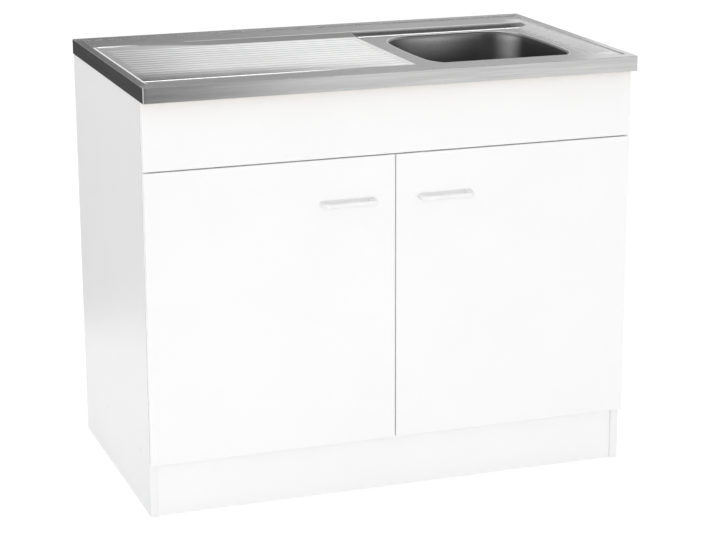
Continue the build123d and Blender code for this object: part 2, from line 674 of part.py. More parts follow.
def door_left():
    """The left door board, bored for its handle and hinge cups."""
    x = (-HALF_FRONT, -DOOR_SPLIT_GAP / 2)
    board = eased(block(x, (DOOR_FRONT_Y, DOOR_BACK_Y), (DOOR_BOTTOM, DOOR_TOP)))
    for hole_x in handle_holes():
        board -= handle_screw_shank(hole_x, BORE_PLAY)
    for z in HINGE_ZS:
        board -= cup_bore(z, CUP_PLAY)
        for shank in cup_screw_shanks(z, BORE_PLAY):
            board -= shank
    return board


# ---- sink ------------------------------------------------------------------------------
def field_profile(floor_z, grow):
    """The sunken field's (y, z) outline where its floor lies at floor_z."""
    deck, floor_z = DECK_Z - grow, floor_z - grow
    return [
        (FIELD_Y0 - grow, CLEAR_Z), (FIELD_Y0 - grow, deck), (FIELD_FLOOR_Y0 - grow, floor_z),
        (FIELD_FLOOR_Y1 + grow, floor_z), (FIELD_Y1 + grow, deck), (FIELD_Y1 + grow, CLEAR_Z)]


def field_space(grow):
    """The space over the drainer and round the bowl; grow gives the sheet's underside."""
    left = field_profile(DECK_Z - DRAINER_HIGH, grow)
    step = field_profile(DECK_Z - DRAINER_LOW, grow)
    basin = field_profile(BASIN_Z, grow)
    right = field_profile(DECK_Z - RAMP_END_DROP, grow)
    x_ramp = FIELD_X1 - RAMP_RIGHT + grow
    space = ruled(left, FIELD_X0 - grow, step, DRAINER_X1)
    space += ruled(step, DRAINER_X1, basin, DRAINER_X1 + STEP_RUN)
    space += ruled(basin, DRAINER_X1 + STEP_RUN, basin, x_ramp)
    space += ruled(basin, x_ramp, right, FIELD_X1 + grow)
    x, y = (FIELD_X0 - grow, FIELD_X1 + grow), (FIELD_Y0 - grow, FIELD_Y1 + grow)
    outline = block(x, y, (CARCASS_HEIGHT, CLEAR_Z))
    right_edges = outline.edges().filter_by(Axis.Z).group_by(Axis.X)[-1]
    return space & fillet(right_edges, FIELD_CORNER_R + grow)


def bowl_space(grow):
    """The bowl's inside; grow gives its outside."""
    half_x, half_y = BOWL_LENGTH / 2 + grow, BOWL_WIDTH / 2 + grow
    outline = fillet(Rectangle(2 * half_x, 2 * half_y).vertices(), BOWL_CORNER_R + grow)
    body = extrude(outline, -(BOWL_DEPTH + grow), taper=BOWL_TAPER)
    floor = body.faces().sort_by(Axis.Z)[0]
    body = fillet(floor.edges(), BOWL_FLOOR_R + grow)
    mouth = fillet(
        Rectangle(2 * half_x + 2 * BOWL_LIP, 2 * half_y + 2 * BOWL_LIP).vertices(),
        BOWL_CORNER_R + grow + BOWL_LIP)
    lip = extrude(Pos(0, 0, -grow) * mouth, -BOWL_LIP, taper=45)
    return Pos(BOWL_X, BOWL_Y, BASIN_Z) * (body + lip)


def drainer_rib(y):
    """One raised rib that runs down the drainer."""
    half, top = RIB_WIDTH / 2, RIB_TOP / 2

    def outline(z):
        low, high = z - SHEET / 2, z + RIB_RISE
        return [(y - half, low), (y - top, high), (y + top, high), (y + half, low)]

    fall = (DRAINER_LOW - DRAINER_HIGH) / (DRAINER_X1 - FIELD_X0)
    z_left = DECK_Z - DRAINER_HIGH - fall * RIB_START
    z_right = DECK_Z - DRAINER_LOW + fall * RIB_START
    return ruled(outline(z_left), FIELD_X0 + RIB_START, outline(z_right), DRAINER_X1 - RIB_START)


def sink_sheet():
    """The whole sink: apron, rim, ledge, drainer and bowl."""
    x, y = (-HALF_SINK, HALF_SINK), (SINK_FRONT_Y, SINK_BACK_Y)
    outside = slab(x, y, (CARCASS_HEIGHT, SINK_TOP), SINK_CORNER_R)
    inside = slab(
        (x[0] + SHEET, x[1] - SHEET), (y[0] + SHEET, y[1] - SHEET),
        (CARCASS_HEIGHT, SINK_TOP - SHEET), SINK_CORNER_R - SHEET)
    deck_x = (x[0] + RIM_SIDE, x[1] - RIM_SIDE)
    deck_y = (y[0] + RIM_FRONT, y[1] - RIM_BACK)
    outside -= slab(deck_x, deck_y, (DECK_Z, SINK_TOP), SINK_CORNER_R)
    inside -= slab(
        (deck_x[0] - SHEET, deck_x[1] + SHEET), (deck_y[0] - SHEET, deck_y[1] + SHEET),
        (DECK_Z - SHEET, SINK_TOP), SINK_CORNER_R + SHEET)
    sheet = (outside - field_space(0)) - (inside - field_space(SHEET))
    sheet += bowl_space(SHEET)
    sheet -= bowl_space(0)
    rib_steps = int((FIELD_FLOOR_Y1 - FIELD_FLOOR_Y0 - 2 * RIB_MARGIN) // RIB_PITCH)
    first = (FIELD_FLOOR_Y0 + FIELD_FLOOR_Y1 - RIB_PITCH * rib_steps) / 2
    for index in range(rib_steps + 1):
        sheet += drainer_rib(first + index * RIB_PITCH)
    return sheet - rod_z(BOWL_X, BOWL_Y, (GASKET_Z, BOWL_FLOOR_Z), WASTE_HOLE_R)


def sink_parts():
    """The sheet cut at its seams: drainer, three edges and the bowl's floor, walls and corners."""
    half_x = BOWL_LENGTH / 2 + BOWL_LIP + SEAM_MARGIN
    half_y = BOWL_WIDTH / 2 + BOWL_LIP + SEAM_MARGIN
    run_x, run_y = BOWL_LENGTH / 2 - BOWL_CORNER_R, BOWL_WIDTH / 2 - BOWL_CORNER_R
    seam_x, seam_y = (BOWL_X - half_x, BOWL_X + half_x), (BOWL_Y - half_y, BOWL_Y + half_y)
    z = (GASKET_Z - SHEET, SINK_TOP)
    sheet = sink_sheet()
    bowl = sheet & block(seam_x, seam_y, z)
    between_ends = block((BOWL_X - run_x, BOWL_X + run_x), seam_y, z)
    between_sides = block(seam_x, (BOWL_Y - run_y, BOWL_Y + run_y), z)
    return {
        "sink_drainer": sheet & block((-HALF_SINK, seam_x[0]), (SINK_FRONT_Y, SINK_BACK_Y), z),
        "sink_edge_front": sheet & block((seam_x[0], HALF_SINK), (SINK_FRONT_Y, seam_y[0]), z),
        "sink_edge_rear": sheet & block((seam_x[0], HALF_SINK), (seam_y[1], SINK_BACK_Y), z),
        "sink_edge_right": sheet & block((seam_x[1], HALF_SINK), seam_y, z),
        "sink_bowl_floor": bowl & between_ends & between_sides,
        "sink_bowl_sides": (bowl & between_ends) - between_sides,
        "sink_bowl_ends": (bowl & between_sides) - between_ends,
        "sink_bowl_corners": bowl - between_ends - between_sides,
    }


def sink_battens():
    """The boards glued inside the folded edge."""
    x = (-HALF_SINK + SHEET + BATTEN_PLAY, HALF_SINK - SHEET - BATTEN_PLAY)
    y = (SINK_FRONT_Y + SHEET + BATTEN_PLAY, SINK_BACK_Y - SHEET - BATTEN_PLAY)
    corner = SINK_CORNER_R - SHEET - BATTEN_PLAY
    top = DECK_Z - SHEET
    y_inner = (y[0] + BATTEN_FRONT_DEPTH, y[1] - BATTEN_BACK_DEPTH)

    def rounded(x_pair, y_pair, height, index, axis):
        board = block(x_pair, y_pair, (CARCASS_HEIGHT, height))
        return fillet(board.edges().filter_by(Axis.Z).group_by(axis)[index], corner)

    left_top = DECK_Z - DRAINER_LOW - SHEET
    right_top = BASIN_Z - SHEET
    return {
        "sink_batten_front": rounded(x, (y[0], y_inner[0]), top, 0, Axis.Y),
        "sink_batten_rear": rounded(x, (y_inner[1], y[1]), top, -1, Axis.Y),
        "sink_batten_left": block((x[0], x[0] + BATTEN_LEFT_WIDTH), y_inner, (CARCASS_HEIGHT, left_top)),
        "sink_batten_right": block((x[1] - BATTEN_RIGHT_WIDTH, x[1]), y_inner, (CARCASS_HEIGHT, right_top)),
    }


def bracket_side_screw(y, grow):
    """A left bracket's screw into the side panel."""
    x1 = -HALF_INSIDE + BRACKET
    z = CARCASS_HEIGHT - BRACKET_HOLE
    return rod_x((x1 - BRACKET_SCREW_LENGTH - grow, x1), y, z, BRACKET_SCREW_R + grow)


def bracket_top_screw(y, grow):
    """A left bracket's screw up into the batten."""
    z0 = CARCASS_HEIGHT - BRACKET
    x = -HALF_INSIDE + BRACKET_HOLE
    return rod_z(x, y, (z0, z0 + BRACKET_SCREW_LENGTH + grow), BRACKET_SCREW_R + grow)


def sink_bracket(y):
    """A left angle bracket under the batten."""
    ys = (y - BRACKET_WIDTH / 2, y + BRACKET_WIDTH / 2)
    x0 = -HALF_INSIDE
    upright = block((x0, x0 + BRACKET), ys, (CARCASS_HEIGHT - BRACKET_LEG, CARCASS_HEIGHT))
    foot = block((x0, x0 + BRACKET_LEG), ys, (CARCASS_HEIGHT - BRACKET, CARCASS_HEIGHT))
    return upright + foot - bracket_side_screw(y, BORE_PLAY) - bracket_top_screw(y, BORE_PLAY)


def bracket_screws(y):
    """A left bracket's two screws with their heads."""
    x1 = -HALF_INSIDE + BRACKET
    side_head = rod_x(
        (x1, x1 + BRACKET_SCREW_HEAD), y, CARCASS_HEIGHT - BRACKET_HOLE, BRACKET_SCREW_HEAD_R)
    z0 = CARCASS_HEIGHT - BRACKET
    top_head = rod_z(
        -HALF_INSIDE + BRACKET_HOLE, y, (z0 - BRACKET_SCREW_HEAD, z0), BRACKET_SCREW_HEAD_R)
    return [bracket_side_screw(y, 0) + side_head, bracket_top_screw(y, 0) + top_head]


def sound_pad():
    """The damping pad under the bowl, open round the waste."""
    half_x, half_y = PAD_LENGTH / 2, PAD_WIDTH / 2
    z = (GASKET_Z - PAD_THICKNESS, GASKET_Z)
    x, y = (BOWL_X - half_x, BOWL_X + half_x), (BOWL_Y - half_y, BOWL_Y + half_y)
    pad = slab(x, y, z, PAD_THICKNESS)
    return pad - rod_z(BOWL_X, BOWL_Y, z, GASKET_R + PAD_THICKNESS)


# ---- waste and trap --------------------------------------------------------------------
def waste_flange():
    """The steel flange in the bowl's floor, with a strainer cross at the foot of its skirt."""
    top = BOWL_FLOOR_Z + WASTE_FLANGE
    edge = BOWL_FLOOR_Z + WASTE_FLANGE / 2
    ring = turned(
        [(WASTE_SEAT_R, top), (WASTE_FLANGE_R, edge), (WASTE_FLANGE_R, BOWL_FLOOR_Z),
         (WASTE_SKIRT_R, BOWL_FLOOR_Z), (WASTE_SKIRT_R, CROSS_Z), (WASTE_SEAT_R, CROSS_Z)],
        BOWL_X, BOWL_Y)
    z = (CROSS_Z, CROSS_TOP_Z)
    reach, half = WASTE_SEAT_R + CROSS_IN_RING, CROSS_BAR / 2
    across = block((BOWL_X - reach, BOWL_X + reach), (BOWL_Y - half, BOWL_Y + half), z)
    along = block((BOWL_X - half, BOWL_X + half), (BOWL_Y - reach, BOWL_Y + reach), z)
    hub = rod_z(BOWL_X, BOWL_Y, z, CROSS_HUB_R)
    return ring + across + along + hub - rod_z(BOWL_X, BOWL_Y, z, WASTE_SCREW_R + BORE_PLAY)


def waste_gasket():
    """The rubber ring between the bowl and the waste body."""
    z = (WASTE_BODY_Z, GASKET_Z)
    return rod_z(BOWL_X, BOWL_Y, z, GASKET_R) - rod_z(BOWL_X, BOWL_Y, z, WASTE_HOLE_R)


def waste_screw():
    """The screw that pulls flange and body together."""
    z = (CROSS_TOP_Z, CROSS_TOP_Z + WASTE_SCREW_HEAD)
    head = rod_z(BOWL_X, BOWL_Y, z, WASTE_SCREW_HEAD_R)
    return head + rod_z(BOWL_X, BOWL_Y, (CROSS_TOP_Z - WASTE_SCREW_LENGTH, z[0]), WASTE_SCREW_R)


def waste_body():
    """The plastic body: flange, short bowl and threaded neck with an inner nut boss."""
    neck_in = TAIL_R - TAIL_WALL
    bowl_in = WASTE_BODY_R - WASTE_BODY_WALL
    low = WASTE_BODY_Z - WASTE_BODY_FLANGE
    floor = CUP_FLOOR_Z
    body = turned(
        [(bowl_in, WASTE_BODY_Z), (GASKET_R, WASTE_BODY_Z), (GASKET_R, low), (WASTE_BODY_R, low),
         (WASTE_BODY_R, floor), (NECK_R, floor - WASTE_CONE), (NECK_R, NECK_END_Z),
         (neck_in, NECK_END_Z), (neck_in, floor - WASTE_BODY_WALL),
         (bowl_in, floor + WASTE_BODY_WALL)],
        BOWL_X, BOWL_Y)
    tip = CROSS_TOP_Z - WASTE_SCREW_LENGTH
    z = (tip - BOSS_BELOW, tip + BOSS_ABOVE)
    reach, half = neck_in + WEB_IN_NECK, CROSS_BAR / 2
    web = block((BOWL_X - reach, BOWL_X + reach), (BOWL_Y - half, BOWL_Y + half), z)
    bore = rod_z(BOWL_X, BOWL_Y, (tip - BORE_PLAY, z[1]), WASTE_SCREW_R + BORE_PLAY)
    return body + rod_z(BOWL_X, BOWL_Y, z, BOSS_R) + web - bore


def trap_nut():
    """The union nut round the waste body's neck, closed in on the tail pipe."""
    top, lip = CUP_FLOOR_Z - NUT_TOP, NECK_END_Z - TAIL_WALL
    low = top - NUT_LENGTH
    return turned(
        [(NECK_R + PIPE_PLAY, top), (NUT_R, top), (NUT_R, low), (TAIL_R + PIPE_PLAY, low),
         (TAIL_R + PIPE_PLAY, lip), (NECK_R + PIPE_PLAY, lip)],
        BOWL_X, BOWL_Y)


def trap_tail_pipe():
    """The tail pipe from the waste down into the trap, with a collar in the nut."""
    bottom = TAIL_TOP_Z - TAIL_LENGTH
    return turned(
        [(TAIL_R - TAIL_WALL, TAIL_TOP_Z), (NECK_R, TAIL_TOP_Z), (NECK_R, TAIL_TOP_Z - TAIL_WALL),
         (TAIL_R, TAIL_TOP_Z - TAIL_WALL), (TAIL_R, bottom), (TAIL_R - TAIL_WALL, bottom)],
        BOWL_X, BOWL_Y)


def trap_body():
    """The bottle trap's body with its inlet collar and side outlet."""
    inner = TRAP_R - TRAP_WALL
    hole = TAIL_R + PIPE_PLAY
    collar, collar_top = hole + TRAP_COLLAR, TRAP_TOP_Z + TRAP_COLLAR_HEIGHT
    shoulder = TRAP_TOP_Z - TRAP_SHOULDER
    body = turned(
        [(hole, collar_top), (collar, collar_top), (collar, TRAP_TOP_Z), (TRAP_R, shoulder),
         (TRAP_R, TRAP_BOTTOM_Z), (inner, TRAP_BOTTOM_Z), (inner, shoulder - TRAP_WALL),
         (hole, TRAP_TOP_Z - TRAP_WALL)],
        BOWL_X, BOWL_Y)
    y = (BOWL_Y, SOCKET_END_Y)
    socket = rod_y(BOWL_X, y, OUTLET_Z, OUTLET_SOCKET_R)
    body += socket - rod_z(BOWL_X, BOWL_Y, (TRAP_BOTTOM_Z, TRAP_TOP_Z), inner)
    body -= rod_y(BOWL_X, y, OUTLET_Z, TAIL_R - TAIL_WALL)
    return body - rod_y(BOWL_X, (BOWL_Y + TRAP_R, y[1]), OUTLET_Z, OUTLET_SPIGOT_R + PIPE_PLAY)


def trap_cup():
    """The trap's screw-off cup."""
    bottom = TRAP_BOTTOM_Z - TRAP_CUP_HEIGHT + TRAP_CUP_OVERLAP
    top = TRAP_BOTTOM_Z + TRAP_CUP_OVERLAP
    outer, clear, inner = TRAP_CUP_R, TRAP_R + PIPE_PLAY, TRAP_R - TRAP_WALL
    return turned(
        [(0, bottom), (outer - TRAP_CUP_BEVEL, bottom), (outer, bottom + TRAP_CUP_BEVEL),
         (outer, top), (clear, top), (clear, TRAP_BOTTOM_Z), (inner, TRAP_BOTTOM_Z),
         (inner - TRAP_WALL, bottom + TRAP_WALL), (0, bottom + TRAP_WALL)],
        BOWL_X, BOWL_Y)


def trap_outlet_pipe():
    """The outlet pipe from the trap to the wall, with a thinner spigot in the socket and nut."""
    y = (BOWL_Y + TRAP_R + PIPE_PLAY, BACK_Y - OUTLET_END)
    full_y = (OUTLET_NUT_Y1 + PIPE_PLAY, y[1])
    pipe = rod_y(BOWL_X, y, OUTLET_Z, OUTLET_SPIGOT_R) + rod_y(BOWL_X, full_y, OUTLET_Z, TAIL_R)
    return pipe - rod_y(BOWL_X, y, OUTLET_Z, TAIL_R - TAIL_WALL)


def trap_outlet_nut():
    """The nut that seals the outlet pipe in the trap's socket."""
    y = (OUTLET_NUT_Y0, OUTLET_NUT_Y1)
    nut = rod_y(BOWL_X, y, OUTLET_Z, OUTLET_NUT_R)
    nut -= rod_y(BOWL_X, (y[0], SOCKET_END_Y), OUTLET_Z, OUTLET_SOCKET_R + PIPE_PLAY)
    return nut - rod_y(BOWL_X, y, OUTLET_Z, OUTLET_SPIGOT_R + PIPE_PLAY)


def drain_plug():
    """The rubber plug that sits in the waste flange and lifts out by its knob."""
    seat = BOWL_FLOOR_Z + WASTE_FLANGE
    stem = WASTE_SEAT_R - PLUG_PLAY
    low, neck_z = seat - PLUG_REACH, seat + PLUG_COLLAR
    knob_z = neck_z + PLUG_KNOB
    head_z = knob_z - PLUG_KNOB_HEAD
    return turned(
        [(0, low), (stem - PLUG_TAPER, low), (stem, seat), (PLUG_COLLAR_R, seat),
         (PLUG_COLLAR_R, seat + PLUG_COLLAR / 2), (PLUG_COLLAR_R - PLUG_COLLAR_BEVEL, neck_z),
         (PLUG_KNOB_R, neck_z), (PLUG_KNOB_R, head_z), (PLUG_KNOB_TOP_R, head_z),
         (PLUG_KNOB_TOP_R, knob_z), (0, knob_z)],
        BOWL_X, BOWL_Y)


# ---- every node ------------------------------------------------------------------------
def rail_fittings(make):
    """One kind of fitting at both ends of every rail."""
    return both_sides([make(*spec) for spec in RAILS.values()])


def build_nodes():
    """All sub-parts by node name, each a solid or a list of separate solids."""
    nodes = {
        "side_panel_left": side_panel_left(),
        "side_panel_right": mirrored(side_panel_left()),
        "bottom_panel": bottom_panel(),
        "front_rail": front_rail_bored(),
        "dowels": rail_fittings(lambda y, z, inward: rail_dowel(y, z, 0)),
        "cam_bolts": rail_fittings(lambda y, z, inward: rail_cam_bolt(y, z, 0)),
        "cam_housings": rail_fittings(lambda y, z, inward: rail_cam(y, z, inward, 0)),
        "panel_screws": both_sides([panel_screw(y, 0) for y in SCREW_YS]),
        "cover_caps": both_sides([cover_cap(y) for y in SCREW_YS]),
        "door_buffers": door_buffers(),
        "fascia_panel": fascia_panel(),
        "fascia_spacers": fascia_spacers(),
        "fascia_screws": fascia_screws(),
        "hinge_plates": both_sides([hinge_plate(z) for z in HINGE_ZS]),
        "hinge_plate_screws": both_sides([s for z in HINGE_ZS for s in plate_screws_with_heads(z)]),
        "hinge_arms": both_sides([hinge_arm(z) for z in HINGE_ZS]),
        "hinge_arm_screws": both_sides([arm_screw(z) for z in HINGE_ZS]),
        "hinge_pins": both_sides([hinge_pin(z) for z in HINGE_ZS]),
        "sink_brackets": both_sides([sink_bracket(y) for y in BRACKET_YS]),
        "sink_bracket_screws": both_sides([s for y in BRACKET_YS for s in bracket_screws(y)]),
        "sound_pad": sound_pad(),
        "waste_flange": waste_flange(),
        "waste_gasket": waste_gasket(),
        "waste_screw": waste_screw(),
        "waste_body": waste_body(),
        "trap_nut": trap_nut(),
        "trap_tail_pipe": trap_tail_pipe(),
        "trap_body": trap_body(),
        "trap_cup": trap_cup(),
        "trap_outlet_pipe": trap_outlet_pipe(),
        "trap_outlet_nut": trap_outlet_nut(),
        "drain_plug": drain_plug(),
    }
    nodes.update(sink_parts())
    for name in ("rear_rail_upper", "rear_rail_lower", "plinth_board"):
        nodes[name] = rail(*RAILS[name])
    top_bores = both_sides([bracket_top_screw(y, BORE_PLAY) for y in BRACKET_YS])
    for name, batten in sink_battens().items():
        for bore in top_bores:
            batten -= bore
        nodes[name] = batten
    left_door = {
        "door": door_left(),
        "handle": handle_left(),
        "handle_screws": handle_screws_left(),
        "hinge_cups": [hinge_cup(z) for z in HINGE_ZS],
        "hinge_cup_screws": [s for z in HINGE_ZS for s in cup_screws(z)],
        "hinge_links": [hinge_link(z) for z in HINGE_ZS],
    }
    for name, made in left_door.items():
        nodes[name + "_left"] = made
        pieces = made if isinstance(made, list) else [made]
        nodes[name + "_right"] = [mirrored(piece) for piece in pieces]
    return nodes


os.makedirs("parts", exist_ok=True)
for node, made in build_nodes().items():
    pieces = made if isinstance(made, list) else [made]
    solids = [solid for piece in pieces for solid in piece.solids()]
    shape = solids[0] if len(solids) == 1 else Compound(children=solids)
    shape.label = node
    export_step(shape, f"parts/{node}.step")
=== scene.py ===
import math
from collections import namedtuple

import bmesh
import bpy
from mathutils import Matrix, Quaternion, Vector


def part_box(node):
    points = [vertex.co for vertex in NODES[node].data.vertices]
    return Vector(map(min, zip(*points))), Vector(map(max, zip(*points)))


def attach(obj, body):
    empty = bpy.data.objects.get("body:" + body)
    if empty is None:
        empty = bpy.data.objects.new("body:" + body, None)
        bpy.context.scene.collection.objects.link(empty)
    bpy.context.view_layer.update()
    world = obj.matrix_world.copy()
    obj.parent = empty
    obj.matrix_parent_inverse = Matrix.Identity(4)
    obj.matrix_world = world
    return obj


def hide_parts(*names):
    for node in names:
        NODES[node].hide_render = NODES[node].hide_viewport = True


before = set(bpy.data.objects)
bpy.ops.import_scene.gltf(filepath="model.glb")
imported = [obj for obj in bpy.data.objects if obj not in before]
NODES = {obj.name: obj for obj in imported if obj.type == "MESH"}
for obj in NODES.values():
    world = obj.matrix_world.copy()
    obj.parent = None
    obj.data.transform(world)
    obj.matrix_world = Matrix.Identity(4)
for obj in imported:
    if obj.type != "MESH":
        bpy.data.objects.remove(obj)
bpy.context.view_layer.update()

MM = 0.001


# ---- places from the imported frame, in millimetres -------------------------------------
def node_box(name):
    """A node's (low, high) corners in millimetres."""
    low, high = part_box(name)
    return [v / MM for v in low], [v / MM for v in high]


SINK_PARTS = ("sink_drainer", "sink_edge", "sink_bowl")
SINK_NODES = [name for name in NODES if name.startswith(SINK_PARTS)]
SINK_HIGH = [max(v) for v in zip(*(node_box(name)[1] for name in SINK_NODES))]
BOWL_BOXES = [node_box(name) for name in SINK_NODES if name.startswith("sink_bowl")]
BOWL_LOW = [min(v) for v in zip(*(low for low, high in BOWL_BOXES))]
BOWL_HIGH = [max(v) for v in zip(*(high for low, high in BOWL_BOXES))]

# The sheet
INSIDE = 0.05                       # the visual shell lies this far inside the CAD box
HALF_X = SINK_HIGH[0] - INSIDE
HALF_Y = SINK_HIGH[1] - INSIDE
RIM_Z = SINK_HIGH[2] - INSIDE
SHEET = 0.9                         # thickness
APRON_FOOT = 820.3                  # lower edge of the folded apron
APRON_EDGE = 0.5                    # last row of the apron over its foot
EDGE_R = 1.0                        # round between the top and the apron
EDGE_ROW = 1.5                      # first row of the apron under that round
PLAN_CORNER = 3.0                   # round of the outer corners seen from above
TOP_X, TOP_Y = HALF_X - EDGE_R, HALF_Y - EDGE_R

# The raised rim, half way up its slope at RIM_X and RIM_Y
RIM_RISE = 1.5
RIM_X, RIM_Y, RIM_RUN, REAR_RIM_RUN = 484.0, 272.0, 2.5, 6.0
DECK_Z = RIM_Z - RIM_RISE

# The sunken field: the drainer on the left and the basin round the bowl on the right
FIELD = (-480.0, 475.0, -228.0, 190.0)   # left, right, front, back
DRAINER_END = 68.0
DRAINER_DROP = (1.5, 4.5)           # depth at the drainer's left and right ends
BASIN_DROP = 7.0
STEP_RUN = 6.0                      # run of the step from the drainer to the basin
FRONT_RUN, BACK_RUN, RIGHT_RUN = 3.0, 37.0, 35.0
BASIN_Z = DECK_Z - BASIN_DROP

# The rear ramp, which starts as a mere kick at the left and widens to the right
RAMP_START = 6.0                    # its run at the left end
RAMP_WIDENS = 260.0                 # it has its full run this far from the left end
RAMP_GENTLE = 0.77                  # share of its height over its gentle part
RAMP_KICK = 5.0                     # run of its steep foot

# The drainer's ribs
RIB_PITCH, RIB_COUNT, RIB_MIDDLE = 25.0, 14, -32.5
RIB_HALF, RIB_CREST, RIB_RISE, RIB_FADE = 6.0, 1.4, 1.6, 7.0
RIB_MARGIN = 12.0                   # free of ribs at the drainer's ends

# The pressed bead along the field's front and left edges
BEAD_HALF, BEAD_RISE = 2.6, 0.95
BEAD_END, BEAD_FADE = 70.0, 260.0   # the front bead fades out before BEAD_END
BEAD_RIGHT_FADE, BEAD_REAR_FADE = 40.0, 12.0

# The bowl
BOWL_X = (BOWL_LOW[0] + BOWL_HIGH[0]) / 2
BOWL_Y = (BOWL_LOW[1] + BOWL_HIGH[1]) / 2
BOWL_HALF = (154.0, 178.5)
BOWL_CORNER = 75.0
BOWL_BOW = 12.0                     # its ends bow in towards the corners
BOWL_DEPTH = 150.0
BOWL_TAPER = math.radians(3.0)
BOWL_FLOOR_R = 30.0
STRAIGHT_X, STRAIGHT_Y = BOWL_HALF[0] - BOWL_CORNER, BOWL_HALF[1] - BOWL_CORNER
LIP_R = 5.2
LIP_RING = 2.2                      # flat ring outside the lip, painted as a highlight
WASTE_HOLE_R = 27.0

# The sheet's grid
HOLE = (90.0, 436.0, -223.5, 151.5)      # left out round the bowl: left, right, front, back
HOLE_SLACK = 0.1
NEAR_DOUBLE = 0.05                  # grid lines closer than this are one


def ease(t):
    """A smooth step from 0 to 1."""
    t = max(0.0, min(1.0, t))
    return t * t * (3 - 2 * t)


def spread(low, high, count):
    """count + 1 even values from low to high."""
    return [low + (high - low) * i / count for i in range(count + 1)]


# ---- mesh helpers -------------------------------------------------------------------------
def finish_mesh(name, mesh, body, replaced, material, sharp):
    """Turns a bmesh in millimetres into a piece on a body, with edges sharper than sharp kept."""
    mesh.verts.ensure_lookup_table()
    for vert in mesh.verts:
        vert.co *= MM
    bmesh.ops.recalc_face_normals(mesh, faces=mesh.faces)
    for edge in mesh.edges:
        if len(edge.link_faces) == 2 and edge.calc_face_angle(0.0) > math.radians(sharp):
            edge.smooth = False
    data = bpy.data.meshes.new(name)
    mesh.to_mesh(data)
    mesh.free()
    for polygon in data.polygons:
        polygon.use_smooth = True
    piece = bpy.data.objects.new(name, data)
    bpy.context.scene.collection.objects.link(piece)
    data.materials.append(material)
    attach(piece, body)
    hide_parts(*replaced)
    return piece


def bridge(mesh, ring_a, ring_b):
    """Quads between two closed rings of equally many vertices."""
    count = len(ring_a)
    for i in range(count):
        j = (i + 1) % count
        quad = []
        for vert in (ring_a[i], ring_a[j], ring_b[j], ring_b[i]):
            if vert not in quad:
                quad.append(vert)
        if len(quad) > 2:
            mesh.faces.new(quad)


